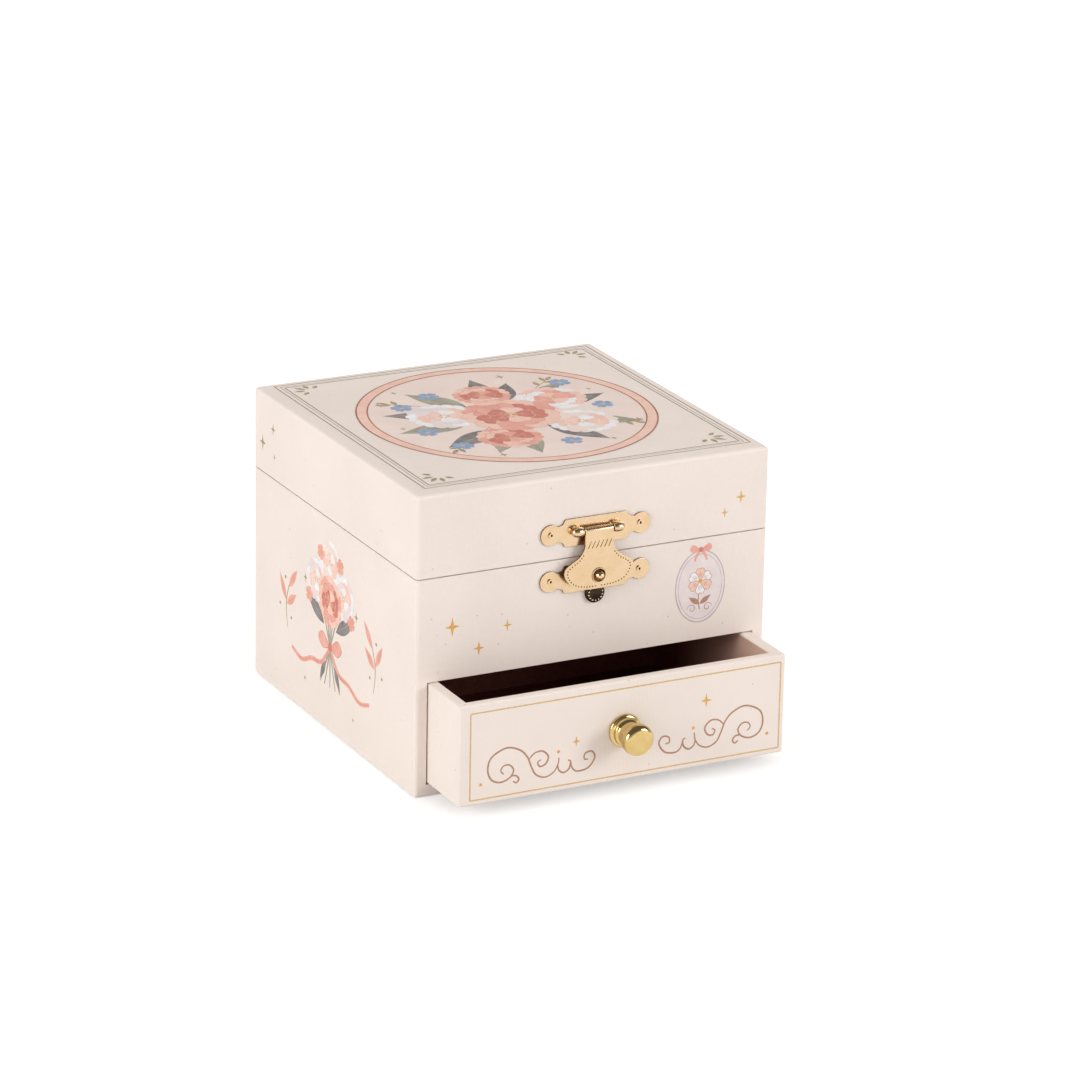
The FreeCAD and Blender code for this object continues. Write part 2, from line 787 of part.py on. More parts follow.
def make_hasp():
    """Stamped hasp: top plate with knuckles and pin, flap, bottom plate with rosette, stud and nails."""
    top = new_body("hasp_top_plate", y=front, z=hasp_top_z)
    sketch = sketch_on(top, "XZ_Plane")
    plate_outline(sketch)
    pad(top, sketch, s.hasp_plate)
    axis_y = -s.hasp_pin_offset
    axis_z = hasp_pin_z - hasp_top_z
    knuckle_start = s.hasp_neck_half + s.hasp_neck_gap
    sketch = sketch_on(top, "YZ_Plane", knuckle_start)
    radius = s.hasp_knuckle_radius
    points = [
        (0, axis_z + radius),
        (axis_y, axis_z + radius),
        (axis_y - radius, axis_z),
        (axis_y, axis_z - radius),
        (0, axis_z - radius),
    ]
    outline(sketch, points, {1: (radius, True), 2: (radius, True)})
    circle(sketch, axis_y, axis_z, s.hasp_pin_radius + s.fit)
    knuckle = pad(top, sketch, s.hasp_knuckle_length)
    mirrored(top, knuckle)

    reach = knuckle_start + s.hasp_knuckle_length
    pin_start = (-reach, front - s.hasp_pin_offset, hasp_pin_z)
    node(cylinder("hasp_pin", s.hasp_pin_radius, reach * 2, pin_start, ALONG_X), "hasp_pin")

    make_flap()

    bottom = new_body("hasp_bottom_plate", y=front, z=hasp_bottom_z)
    sketch = sketch_on(bottom, "XZ_Plane")
    plate_outline(sketch)
    pad(bottom, sketch, s.hasp_plate)
    sketch = sketch_on(bottom, "XZ_Plane")
    circle(sketch, 0, rosette_z - hasp_bottom_z, s.rosette_radius)
    rosette = pad(bottom, sketch, s.rosette_rise)
    doc.recompute()
    rim = []
    for index, edge in enumerate(rosette.Shape.Edges, start=1):
        proud = edge.BoundBox.YMax < -(s.hasp_plate + s.fit).value
        if proud and edge.BoundBox.XLength > s.rosette_radius.value:
            rim.append(f"Edge{index}")
    bevel = bottom.newObject("PartDesign::Chamfer", "rosette_bevel")
    bevel.Base = (rosette, rim)
    bind(bevel, Size=s.rosette_bevel)

    stud = new_body("hasp_stud", y=front - s.hasp_plate, z=hasp_stud_z, turn=ALONG_FRONT)
    sketch = sketch_on(stud, "XZ_Plane")
    centre = s.hasp_pin_offset + s.hasp_curl_radius
    shank, ball = s.hasp_stud_radius, s.hasp_ball_radius
    side = root(ball * ball - shank * shank)
    points = [
        (0, 0),
        (shank, 0),
        (shank, centre - side),
        (ball, centre),
        (0, centre + ball),
    ]
    outline(sketch, points, {2: (ball, True), 3: (ball, True)})
    revolve(stud, sketch)

    for owner, height in (("lid", hasp_top_z), ("box", hasp_bottom_z)):
        nails = [
            nail("hasp_nail", s.hasp_nail_place * way, front, height, -1, s.hasp_plate) for way in (-1, 1)
        ]
        node(group(f"hasp_nails_{owner}", *nails), f"hasp_nails_{owner}")


def make_flap():
    """The hasp's flap: a curl on the pin, a neck, and a flared shield with a ring hole for the stud."""
    flap = new_body("hasp_flap", y=front - s.hasp_pin_offset, z=hasp_pin_z)
    bore = s.hasp_pin_radius + s.running
    sketch = sketch_on(flap, "YZ_Plane", -s.hasp_neck_half)
    circle(sketch, 0, 0, s.hasp_curl_radius)
    circle(sketch, 0, 0, bore)
    pad(flap, sketch, s.hasp_neck_half * 2)
    sketch = sketch_on(flap, "XZ_Plane", bore)
    ring = hasp_stud_z - hasp_pin_z
    right = [
        (s.hasp_neck_half, 0),
        (s.hasp_neck_half, -s.flap_neck),
        (s.flap_shoulder_half, ring + s.flap_shoulder_rise),
        (s.flap_corner_half, ring - s.flap_corner_drop),
        (s.flap_foot_half, ring - s.flap_foot_drop),
    ]
    left = [(-x, z) for x, z in reversed(right)]
    flare, corner = (s.flap_flare_radius, True), (s.flap_corner_radius, False)
    arcs = {1: flare, 2: corner, 4: (s.flap_foot_radius, False), 6: corner, 7: flare}
    outline(sketch, right + left, arcs)
    circle(sketch, 0, ring, s.hasp_ring_radius)
    pad(flap, sketch, s.hasp_curl_radius - bore)


drawer_y = front - s.drawer_out
drawer_length = partition_front - s.drawer_end_gap - front
drawer_x = inner_x - s.drawer_side_gap
drawer_z = (s.base_board + s.drawer_under_gap, bay_top - s.drawer_over_gap)
knob_z = (drawer_z[0] + drawer_z[1]) / 2


def make_drawer():
    """The drawer's boards, lining, knob and knob screw."""
    inside_x = drawer_x - s.drawer_wall
    inside_front = drawer_y + s.drawer_front
    end = drawer_y + drawer_length
    inside_back = end - s.drawer_back
    side_y = (inside_front, end)
    panel_y = (drawer_y, inside_front)
    panel = box("drawer_front_blank", both(drawer_x), panel_y, drawer_z)
    hole = drill("knob_hole", s.knob_screw_radius + s.running, 0, knob_z, panel_y)
    node(cut("drawer_front", panel, hole), "drawer_front")
    node(box("drawer_left_side", (-drawer_x, -inside_x), side_y, drawer_z), "drawer_left_side")
    node(box("drawer_right_side", (inside_x, drawer_x), side_y, drawer_z), "drawer_right_side")
    node(box("drawer_back", both(inside_x), (inside_back, end), drawer_z), "drawer_back")
    bottom_z = (drawer_z[0], drawer_z[0] + s.drawer_bottom)
    inside_y = (inside_front, inside_back)
    node(box("drawer_bottom", both(inside_x), inside_y, bottom_z), "drawer_bottom")
    lining_z = (bottom_z[1], bottom_z[1] + s.lining)
    gap = s.lining_gap
    lining_y = (inside_front + gap, inside_back - gap)
    node(box("drawer_lining", both(inside_x - gap), lining_y, lining_z), "drawer_lining")

    knob = new_body("drawer_knob", y=drawer_y, z=knob_z, turn=ALONG_FRONT)
    sketch = sketch_on(knob, "XZ_Plane")
    bore = s.knob_screw_radius + s.fit
    foot, neck, head, edge = s.knob_foot_radius, s.knob_neck_radius, s.knob_head_radius, s.knob_round
    neck_top = s.knob_foot + s.knob_neck
    top = neck_top + s.knob_head
    points = [
        (0, s.knob_screw_reach),
        (bore, s.knob_screw_reach),
        (bore, 0),
        (foot, 0),
        (foot, s.knob_foot),
        (neck, s.knob_foot + s.knob_foot / 2),
        (neck, neck_top - edge / 2),
        (head, neck_top + edge),
        (head, top - edge),
        (head - edge, top),
        (0, top),
    ]
    outline(sketch, points, {8: (edge, True)})
    revolve(knob, sketch)

    screw = new_body("knob_screw", y=inside_front, z=knob_z, turn=ALONG_FRONT)
    sketch = sketch_on(screw, "XZ_Plane")
    shank, head = s.knob_screw_radius, s.knob_screw_head_radius
    length = s.drawer_front + s.knob_screw_reach - s.running
    points = [
        (0, -s.knob_screw_head),
        (head / 2, -s.knob_screw_head),
        (head, 0),
        (shank, 0),
        (shank, length),
        (0, length),
    ]
    outline(sketch, points)
    revolve(screw, sketch)


def add_wheel(body, gear, face, lift=0, bore=None):
    """Add a spur wheel with tapered teeth round the body's Z axis, bored on request."""
    sketch = sketch_on(body, "XY_Plane", lift)
    circle(sketch, 0, 0, gear.root)
    if bore:
        circle(sketch, 0, 0, bore)
    pad(body, sketch, face)
    sketch = sketch_on(body, "XY_Plane", lift)
    foot, half, tip_half = gear.root - gear.root_half, gear.root_half, gear.tip_half
    outline(sketch, [(foot, -half), (gear.tip, -tip_half), (gear.tip, tip_half), (foot, half)])
    tooth = pad(body, sketch, face)
    return polar(body, tooth, gear.teeth)


def make_bed():
    """The movement's bed: a plate on the back with two ears for the spindle and a seat for the comb."""
    plate_y = (bed_front, inner_y)
    plate = box("bed_plate", both(bed_half), plate_y, (ear_bottom, ear_top))
    ear_y = (ear_front, inner_y)
    lower = box("lower_ear", both(s.ear_half), ear_y, (ear_bottom, ear_bottom + s.lower_ear))
    upper_x = (-governor_x - governor_pinion.tip, s.ear_half)
    upper_z = (upper_ear_bottom, ear_top)
    upper = box("upper_ear", upper_x, ear_y, upper_z)
    comb_z = comb_span()
    seat_y = cylinder_y + s.comb_thick / 2
    seat = box("comb_seat", (comb_root, comb_end), (seat_y, bed_front + s.clearance), comb_z)
    blank = fuse("bed_blank", plate, lower, upper, seat)
    bore = drill_down("spindle_bore", s.spindle_radius + s.running, 0, cylinder_y, (ear_bottom, ear_top))
    arbor = drill("arbor_bore", s.arbor_radius + s.running, 0, barrel_z, plate_y)
    pivot_radius = s.governor_arbor_radius + s.running
    pivot = drill_down("pivot_bore", pivot_radius, -governor_x, cylinder_y, upper_z)
    tap = s.screw_radius + s.fit
    taps = [drill("bed_tap", tap, x, z, plate_y) for x, z in bed_screw_places()]
    comb_y = (seat_y, seat_y + s.comb_screw_reach)
    comb_taps = [drill("comb_tap", tap, x, z, comb_y) for x, z in comb_screw_places()]
    node(cut("movement_bed", blank, bore, arbor, pivot, *taps, *comb_taps), "movement_bed")

    shank_length = half_y - bed_front
    screws = []
    for x, z in bed_screw_places():
        head = cylinder("bed_screw_head", s.screw_head_radius, s.screw_head, (x, half_y, z), ALONG_BACK)
        shank = cylinder("bed_screw_shank", s.screw_radius, shank_length, (x, bed_front, z), ALONG_BACK)
        screws.append(fuse("bed_screw", head, shank))
    node(group("movement_screws", *screws), "movement_screws")


def comb_span():
    """The comb's (low, high) heights."""
    middle = cylinder_bottom + s.cylinder_length / 2
    reach = s.comb_teeth * s.comb_pitch / 2
    return (middle - reach, middle + reach)


def comb_screw_places():
    """Places (x, z) of the comb's two screws."""
    low, high = comb_span()
    x = (comb_root + comb_end) / 2
    return [(x, low + (high - low) / 4), (x, high - (high - low) / 4)]


def make_comb():
    """The steel comb: one plate slotted into teeth, held by two screws."""
    low, high = comb_span()
    comb = new_body("comb", y=cylinder_y + s.comb_thick / 2, z=low)
    sketch = sketch_on(comb, "XZ_Plane")
    rectangle(sketch, (comb_tip, comb_end), (0, high - low))
    for x, z in comb_screw_places():
        circle(sketch, x, z - low, s.screw_radius + s.running)
    plate = pad(comb, sketch, s.comb_thick)
    sketch = sketch_on(comb, "XZ_Plane")
    slot_z = s.comb_pitch - s.comb_slot / 2
    rectangle(sketch, (comb_tip - s.clearance, comb_root - s.clearance), (slot_z, slot_z + s.comb_slot))
    slot = comb.newObject("PartDesign::Pocket", "comb_slot")
    slot.Profile = sketch
    slot.Reversed = True
    bind(slot, Length=s.comb_thick)
    doc.recompute()
    if slot.Shape.Volume >= plate.Shape.Volume:
        raise RuntimeError("the comb's slot cut nothing")
    row = comb.newObject("PartDesign::LinearPattern", "comb_slots")
    row.Originals = [slot]
    row.Direction = (sketch, ["V_Axis"])
    bind(row, Occurrences=s.comb_teeth - 1, Length=s.comb_pitch * (s.comb_teeth - 2))
    comb.Tip = row

    face = cylinder_y - s.comb_thick / 2
    screws = []
    for x, z in comb_screw_places():
        head_start = (x, face - s.screw_head, z)
        head = cylinder("comb_screw_head", s.screw_head_radius, s.screw_head, head_start, ALONG_BACK)
        shank_length = s.comb_thick + s.comb_screw_reach
        shank = cylinder("comb_screw_shank", s.screw_radius, shank_length, (x, face, z), ALONG_BACK)
        screws.append(fuse("comb_screw", head, shank))
    node(group("comb_screws", *screws), "comb_screws")


def make_barrel():
    """The going barrel: a cup with contrate teeth, its spiral mainspring, the winding arbor and the key."""
    barrel = new_body("mainspring_barrel", y=barrel_back, z=barrel_z, turn=ALONG_FRONT)
    sketch = sketch_on(barrel, "XZ_Plane")
    rim, top = s.barrel_radius, s.barrel_length
    web = top - s.barrel_web
    bore = s.arbor_radius + s.running
    flange = flange_radius
    points = [
        (bore, web),
        (rim - s.barrel_wall, web),
        (rim - s.barrel_wall, 0),
        (rim, 0),
        (rim, web),
        (flange, web),
        (flange, top),
        (bore, top),
    ]
    outline(sketch, points)
    revolve(barrel, sketch)
    sketch = sketch_on(barrel, "XY_Plane", top - s.running)
    half_face = s.contrate_face / 2
    half = s.contrate_module * s.contrate_tooth
    rectangle(sketch, (contrate.pitch - half_face, contrate.pitch + half_face), both(half))
    rise = s.contrate_gap + pinion.tip - pinion.root - s.contrate_bottom_gap
    tooth = pad(barrel, sketch, rise + s.running)
    polar(barrel, tooth, contrate.teeth)

    spring = doc.addObject("Part::Feature", "mainspring")
    spring.Shape = spiral_strip()
    spring_back = barrel_front + s.barrel_web + s.clearance + s.spring_width
    place = FreeCAD.Vector(0, spring_back.value, barrel_z.value)
    spring.Placement = FreeCAD.Placement(place, ALONG_FRONT)
    node(spring, "mainspring")

    arbor_front = barrel_front - s.clearance / 2
    arbor_start = (Size.of(0), arbor_front, barrel_z)
    key_depth = s.key_hub * 2 / 3
    arbor_length = half_y + s.key_stand + key_depth - arbor_front
    shaft = cylinder("arbor_shaft", s.arbor_radius, arbor_length, arbor_start, ALONG_BACK)
    hub_front = barrel_front + s.barrel_web + s.clearance / 2
    hub_start = (Size.of(0), hub_front, barrel_z)
    hub_length = bed_front - s.clearance / 2 - hub_front
    hub = cylinder("arbor_hub", arbor_hub, hub_length, hub_start, ALONG_BACK)
    node(fuse("winding_arbor", shaft, hub), "winding_arbor")
    make_key(key_depth)


def spiral_strip():
    """The mainspring as a flat spiral strip of half circles, wound outward from the arbor's hub."""
    turns = int(round(s.spring_turns.value))
    thick = s.spring_thick.value
    inner = (arbor_hub + s.clearance / 2).value
    outer = (s.barrel_radius - s.barrel_wall - s.spring_gap).value
    pitch = (outer - inner - thick) / turns
    sides = []
    for extra in (0.0, thick):
        arcs = []
        for half in range(turns * 2):
            radius = inner + extra + pitch / 4 + half * pitch / 2
            way = 1 if half % 2 == 0 else -1
            centre = -way * pitch / 4
            start = FreeCAD.Vector(centre + way * radius, 0, 0)
            middle = FreeCAD.Vector(centre, way * radius, 0)
            stop = FreeCAD.Vector(centre - way * radius, 0, 0)
            arcs.append(Part.Arc(start, middle, stop).toShape())
        sides.append(arcs)
    first = [arcs[0].firstVertex(True).Point for arcs in sides]
    last = [arcs[-1].lastVertex(True).Point for arcs in sides]
    ends = [Part.makeLine(*last), Part.makeLine(*first)]
    face = Part.Face(Part.Wire(Part.sortEdges([*sides[0], *sides[1], *ends])[0]))
    return face.extrude(FreeCAD.Vector(0, 0, s.spring_width.value))


def make_key(key_depth):
    """The winding key: a hub on the arbor's end and two flat wings with an eye each."""
    key = new_body("winding_key", y=half_y + s.key_stand, z=barrel_z, turn=ALONG_BACK)
    sketch = sketch_on(key, "XZ_Plane")
    bore, hub = s.arbor_radius + s.fit, s.arbor_radius + s.key_hub_step
    points = [(0, key_depth), (bore, key_depth), (bore, 0), (hub, 0), (hub, s.key_hub), (0, s.key_hub)]
    outline(sketch, points)
    revolve(key, sketch)
    sketch = sketch_on(key, "XZ_Plane", -s.key_wing_thick / 2)
    wing, rise = s.key_wing_half, s.key_wing_rise
    low = key_depth + s.clearance
    side = rise / 2
    points = [
        (-wing + side, low),
        (wing - side, low),
        (wing, low + side),
        (wing - side, low + rise),
        (-wing + side, low + rise),
        (-wing, low + side),
    ]
    arcs = {index: (side, True) for index in (1, 2, 4, 5)}
    outline(sketch, points, arcs)
    for way in (-1, 1):
        circle(sketch, (wing - side) * way, low + side, s.key_eye_radius)
    pad(key, sketch, s.key_wing_thick)


def make_cylinder():
    """The pinned cylinder with its pinion, its drive gear and the spindle that carries the dancer."""
    drum = doc.addObject("Part::Feature", "cylinder")
    drum.Shape = pinned_drum()
    drum.Placement.Base = FreeCAD.Vector(0, cylinder_y.value, cylinder_bottom.value)
    node(drum, "cylinder")
    lower = new_body("cylinder_pinion", y=cylinder_y, z=pinion_z - s.contrate_face / 2)
    add_wheel(lower, pinion, s.contrate_face, bore=s.spindle_radius)
    upper = new_body("cylinder_gear", y=cylinder_y, z=drive_bottom)
    add_wheel(upper, drive, s.drive_face, bore=s.spindle_radius)
    spindle_top = table_bottom + s.table_thick / 2
    start = (Size.of(0), cylinder_y, ear_bottom)
    node(cylinder("spindle", s.spindle_radius, spindle_top - ear_bottom, start), "spindle")


def pinned_drum():
    """A bored drum with two tune pins on every comb tooth's track, set round by the golden angle."""
    radius, length = s.cylinder_radius.value, s.cylinder_length.value
    drum = Part.makeCylinder(radius, length).cut(Part.makeCylinder(s.spindle_radius.value, length))
    tracks = int(round(s.comb_teeth.value))
    low = comb_span()[0].value - cylinder_bottom.value
    golden_angle = 137.508
    side, rise = s.tune_pin.value, s.tune_pin_rise.value
    pins = []
    for index in range(tracks * 2):
        height = low + s.comb_pitch.value * (index % tracks + 0.5)
        corner = FreeCAD.Vector(radius - rise, -side / 2, height - side / 2)
        pin = Part.makeBox(rise * 2, side, side, corner)
        pin.rotate(FreeCAD.Vector(0, 0, 0), FreeCAD.Vector(0, 0, 1), index * golden_angle)
        pins.append(pin)
    return drum.fuse(pins)


def make_governor():
    """The governor: bracket, wheel with its pinion, worm, and the two-vaned air fan."""
    wheel_bottom = worm_z - s.worm_wheel_face / 2
    half_pitch = FreeCAD.Rotation(FreeCAD.Vector(0, 0, 1), 180 / s.governor_teeth.value)
    wheel = new_body("governor_wheel", -governor_x, cylinder_y, wheel_bottom, half_pitch)
    add_wheel(wheel, worm_wheel, s.worm_wheel_face)
    lug_bottom = wheel_bottom - s.clearance - s.upper_ear
    sketch = sketch_on(wheel, "XY_Plane", lug_bottom - wheel_bottom)
    circle(sketch, 0, 0, s.governor_arbor_radius)
    pad(wheel, sketch, ear_top - lug_bottom)
    add_wheel(wheel, governor_pinion, s.drive_face, drive_bottom - wheel_bottom)

    front_lug = fan_front + s.fan_width + s.clearance
    lug = s.upper_ear
    rear_lug = front_lug + s.worm_span
    arm_right = -worm_x - s.fan_radius
    arm_left = arm_right - lug * 2
    lug_right = -worm_x + s.worm_radius * 2
    arm_z = (lug_bottom, worm_z + worm_wheel.tip)
    arm = box("governor_arm", (arm_left, arm_right), (front_lug, bed_front), arm_z)
    lug_x = (arm_left, lug_right)
    lugs = [box("worm_lug", lug_x, (y, y + lug), arm_z) for y in (front_lug, rear_lug)]
    pivot_y = (cylinder_y - lug, cylinder_y + lug)
    pivot_x = (arm_left, -governor_x + s.governor_arbor_radius + s.clearance)
    pivot_lug = box("pivot_lug", pivot_x, pivot_y, (lug_bottom, lug_bottom + s.upper_ear))
    blank = fuse("bracket_blank", arm, *lugs, pivot_lug)
    worm_y = (front_lug, rear_lug + lug)
    worm_bore = drill("worm_bore", s.worm_arbor_radius + s.running, -worm_x, worm_z, worm_y)
    pivot_z = (lug_bottom, lug_bottom + s.upper_ear)
    pivot_radius = s.governor_arbor_radius + s.running
    pivot_bore = drill_down("foot_bore", pivot_radius, -governor_x, cylinder_y, pivot_z)
    node(cut("governor_bracket", blank, worm_bore, pivot_bore), "governor_bracket")

    arbor_start = (-worm_x, fan_front, worm_z)
    arbor_length = rear_lug + lug - fan_front
    arbor = cylinder("worm_arbor", s.worm_arbor_radius, arbor_length, arbor_start, ALONG_BACK)
    thread_start = (-worm_x, front_lug + lug + s.clearance / 2, worm_z)
    thread_length = rear_lug - front_lug - lug - s.clearance
    thread = cylinder("worm_thread", s.worm_radius, thread_length, thread_start, ALONG_BACK)
    node(fuse("governor_worm", arbor, thread), "governor_worm")

    fan = new_body("governor_fan", -worm_x, fan_front, worm_z, ALONG_BACK)
    sketch = sketch_on(fan, "XY_Plane")
    hub = s.worm_arbor_radius * 2
    circle(sketch, 0, 0, hub)
    circle(sketch, 0, 0, s.worm_arbor_radius)
    pad(fan, sketch, s.fan_width)
    sketch = sketch_on(fan, "XY_Plane")
    rectangle(sketch, (s.worm_radius, s.fan_radius), both(s.fan_vane / 2))
    vane = pad(fan, sketch, s.fan_width)
    polar(fan, vane, 2)


def make_stop_wire():
    """The stop wire: it stands in the back panel's groove under the lid's rail and reaches to the fan."""
    x, y = -s.wire_place.value, (inner_y + s.wire_offset).value
    level, bend, radius = wire_level.value, s.wire_bend.value, s.wire_radius.value
    fan_y = (fan_front + s.fan_width / 2).value
    corners = [
        FreeCAD.Vector(x, y, (lid_bottom - s.running * 2).value),
        FreeCAD.Vector(x, y, level),
        FreeCAD.Vector(x, fan_y, level),
        FreeCAD.Vector(-worm_x.value, fan_y, level),
    ]
    edges = []
    start = corners[0]
    for before, corner, after in zip(corners, corners[1:], corners[2:]):
        into = (before - corner).normalize() * bend
        out = (after - corner).normalize() * bend
        middle = corner + (into + out) * (1 - math.sqrt(0.5))
        edges.append(Part.makeLine(start, corner + into))
        edges.append(Part.Arc(corner + into, middle, corner + out).toShape())
        start = corner + out
    edges.append(Part.makeLine(start, corners[-1]))
    sides = int(round(s.wire_sides.value))
    turns = [2 * math.pi * index / sides for index in range(sides + 1)]
    ring = [corners[0] + FreeCAD.Vector(math.cos(turn), math.sin(turn), 0) * radius for turn in turns]
    section = Part.makePolygon(ring)
    wire = doc.addObject("Part::Feature", "stop_wire")
    wire.Shape = Part.Wire(edges).makePipeShell([section], True, False)
    node(wire, "stop_wire")


def make_dancer():
    """The dancer: a turntable on the spindle, a doll-like figure on one toe, and a spread tutu."""
    table = new_body("turntable", y=cylinder_y, z=table_bottom)
    sketch = sketch_on(table, "XZ_Plane")
    radius, thick = s.table_radius, s.table_thick
    bore = s.spindle_radius + s.fit
    points = [
        (0, thick / 2),
        (bore, thick / 2),
        (bore, 0),
        (radius, 0),
        (radius, thick / 2),
        (radius - thick / 2, thick),
        (0, thick),
    ]
    outline(sketch, points)
    revolve(table, sketch)

    figure = new_body("dancer_figure", y=cylinder_y, z=figure_foot)
    sketch = sketch_on(figure, "XZ_Plane")
    tall, head, neck, bun = figure_height, s.head_radius, s.neck_radius, s.bun_radius
    head_centre = tall * s.chin_level + root(head * head - neck * neck)
    crown = head_centre + root(head * head - bun * bun)
    points = [
        (0, 0),
        (s.toe_radius, 0),
        (s.ankle_radius, tall * s.ankle_level),
        (s.calf_radius, tall * s.calf_level),
        (s.knee_radius, tall * s.knee_level),
        (s.hip_radius, tall * s.hip_level),
        (s.waist_radius, tall * s.waist_level),
        (s.bust_radius, tall * s.bust_level),
        (s.shoulder_radius, tall * s.shoulder_level),
        (neck, tall * s.neck_level),
        (neck, tall * s.chin_level),
        (head, head_centre),
        (bun, crown),
        (bun, crown + bun),
        (0, crown + bun * 2),
    ]
    outline(sketch, points, {10: (head, True), 11: (head, True), 13: (bun, True)})
    revolve(figure, sketch)
    add_arms(figure)

    tutu = new_body("dancer_tutu", y=cylinder_y, z=figure_foot + tall * s.hip_level)
    sketch = sketch_on(tutu, "XZ_Plane")
    hem, inner = s.tutu_radius, s.hip_radius + s.tutu_gap
    half = s.tutu_thick / 2
    points = [
        (inner, -half),
        (hem, -half),
        (hem, s.tutu_edge - half),
        (hem / 2, half),
        (inner, half + s.tutu_crown),
    ]
    outline(sketch, points)
    revolve(tutu, sketch)


def add_arms(figure):
    """Two arms raised in a ring over the head, as faceted pipes along an arc from shoulder to hand."""
    low, high = figure_height * s.shoulder_level, figure_height
    chord = high - low
    bow = (chord * chord / 4 + s.arm_bow * s.arm_bow) / (s.arm_bow * 2)
    sides = int(round(s.arm_sides.value))
    for way in (-1, 1):
        path = sketch_on(figure, "XZ_Plane")
        start, stop = (s.arm_place * way, low), (s.hand_place * way, high)
        ends = [FreeCAD.Vector(x.value, z.value, 0) for x, z in (start, stop)]
        left = way > 0
        geometry = path.addGeometry(arc_edge(*ends, bow.value, left), False)
        first, last = (1, 2) if left else (2, 1)
        fix_point(path, geometry, first, *start)
        fix_point(path, geometry, last, *stop)
        fix_radius(path, geometry, bow)
        section = sketch_on(figure, "XY_Plane", low)
        turns = [2 * math.pi * index / sides for index in range(sides)]
        ring = [
            (start[0] + s.arm_radius * math.cos(turn), s.arm_radius * math.sin(turn)) for turn in turns
        ]
        outline(section, ring)
        arm = figure.newObject("PartDesign::AdditivePipe", "dancer_arm")
        arm.Profile = section
        arm.Spine = (path, ["Edge1"])


make_carcass()
make_lid()
make_hinges()
make_hasp()
make_drawer()
make_bed()
make_comb()
make_barrel()
make_cylinder()
make_governor()
make_stop_wire()
make_dancer()
doc.recompute()

failed = [item.Label for item in doc.Objects if {"Invalid", "Error"} & set(item.State)]
failed += [item.Label for item in nodes if item.Shape.isNull() or not item.Shape.isValid()]
if failed:
    raise RuntimeError(f"failed objects: {failed}")

os.makedirs("parts", exist_ok=True)
for item in nodes:
    item.Shape.exportStep(f"parts/{item.Label}.step")
print(f"{len(nodes)} sub-parts written")
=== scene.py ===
"""Looks of the ballerina jewellery box: papers, prints, brass, linings, the dancer and the studio."""

import logging
import math
from dataclasses import dataclass
from enum import Enum
from typing import Callable, Sequence, Union

import bpy
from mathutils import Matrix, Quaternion, Vector


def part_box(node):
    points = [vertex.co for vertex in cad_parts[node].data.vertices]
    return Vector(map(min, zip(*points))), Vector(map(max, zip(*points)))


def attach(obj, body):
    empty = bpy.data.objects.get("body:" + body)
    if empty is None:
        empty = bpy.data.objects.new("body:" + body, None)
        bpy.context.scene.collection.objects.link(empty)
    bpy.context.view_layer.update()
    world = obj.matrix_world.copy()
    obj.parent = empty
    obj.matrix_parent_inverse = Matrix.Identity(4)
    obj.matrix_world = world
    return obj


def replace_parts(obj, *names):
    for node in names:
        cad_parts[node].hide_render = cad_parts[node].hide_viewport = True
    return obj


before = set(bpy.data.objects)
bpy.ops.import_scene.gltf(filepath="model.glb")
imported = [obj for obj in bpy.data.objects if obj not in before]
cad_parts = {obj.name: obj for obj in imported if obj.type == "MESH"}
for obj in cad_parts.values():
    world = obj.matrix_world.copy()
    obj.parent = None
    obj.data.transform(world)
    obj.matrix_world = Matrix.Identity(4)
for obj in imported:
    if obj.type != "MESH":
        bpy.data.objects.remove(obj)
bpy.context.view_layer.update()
MM = 0.001
LOG = logging.getLogger("jewellery_box")

Colour = tuple[float, float, float]
Point = tuple[float, ...]
Rows = tuple[Point, ...]
Item = bpy.types.Object
Socket = bpy.types.NodeSocket
Feed = Union[float, tuple, Socket]
Test = Callable[[bpy.types.MeshPolygon], bool]


def tint(red: int, green: int, blue: int) -> Colour:
    """Turn a colour as seen on a screen into linear light.

    Args:
        red: Red from 0 to 255.
        green: Green from 0 to 255.
        blue: Blue from 0 to 255.

    Returns:
        The linear red, green and blue.
    """
    parts = [part / 255 for part in (red, green, blue)]
    return tuple(v / 12.92 if v <= 0.04045 else ((v + 0.055) / 1.055) ** 2.4 for v in parts)


def metres(point: Sequence[float]) -> Point:
    """Turn a place in millimetres into metres."""
    return tuple(part * MM for part in point)


def smooth(points: Sequence[Point], steps: int = 8) -> list[Point]:
    """Draw a smooth line through points.

    Args:
        points: Points of any one dimension.
        steps: Pieces that each run between two points is divided into.

    Returns:
        The points of a Catmull-Rom line, ends included.
    """
    padded = [points[0], *points, points[-1]]
    line = []
    for run in zip(padded, padded[1:], padded[2:], padded[3:]):
        for t in (step / steps for step in range(steps)):
            line.append(tuple(
                b + ((c - a) * t + (2 * a - 5 * b + 4 * c - d) * t**2 + (3 * b - a - 3 * c + d) * t**3) / 2
                for a, b, c, d in zip(*run)
            ))
    return [*line, tuple(points[-1])]


def polar(u: float, v: float, reach: float, turn: float, tall: float = 1.0) -> Point:
    """The place at a reach from (u, v), turned in degrees from the across way."""
    angle = math.radians(turn)
    return (u + reach * math.cos(angle), v + reach * tall * math.sin(angle))


def circle(u: float, v: float, radius: float, sides: int, tall: float = 1.0) -> list[Point]:
    """Points round a circle, or round an oval that is taller by a share."""
    return [polar(u, v, radius, 360 * step / sides, tall) for step in range(sides)]


def turned(flat: Sequence[Point], u: float, v: float, turn: float) -> list[Point]:
    """Turn an outline in degrees and move its start to (u, v)."""
    c, s = math.cos(math.radians(turn)), math.sin(math.radians(turn))
    return [(u + x * c - y * s, v + x * s + y * c) for x, y in flat]


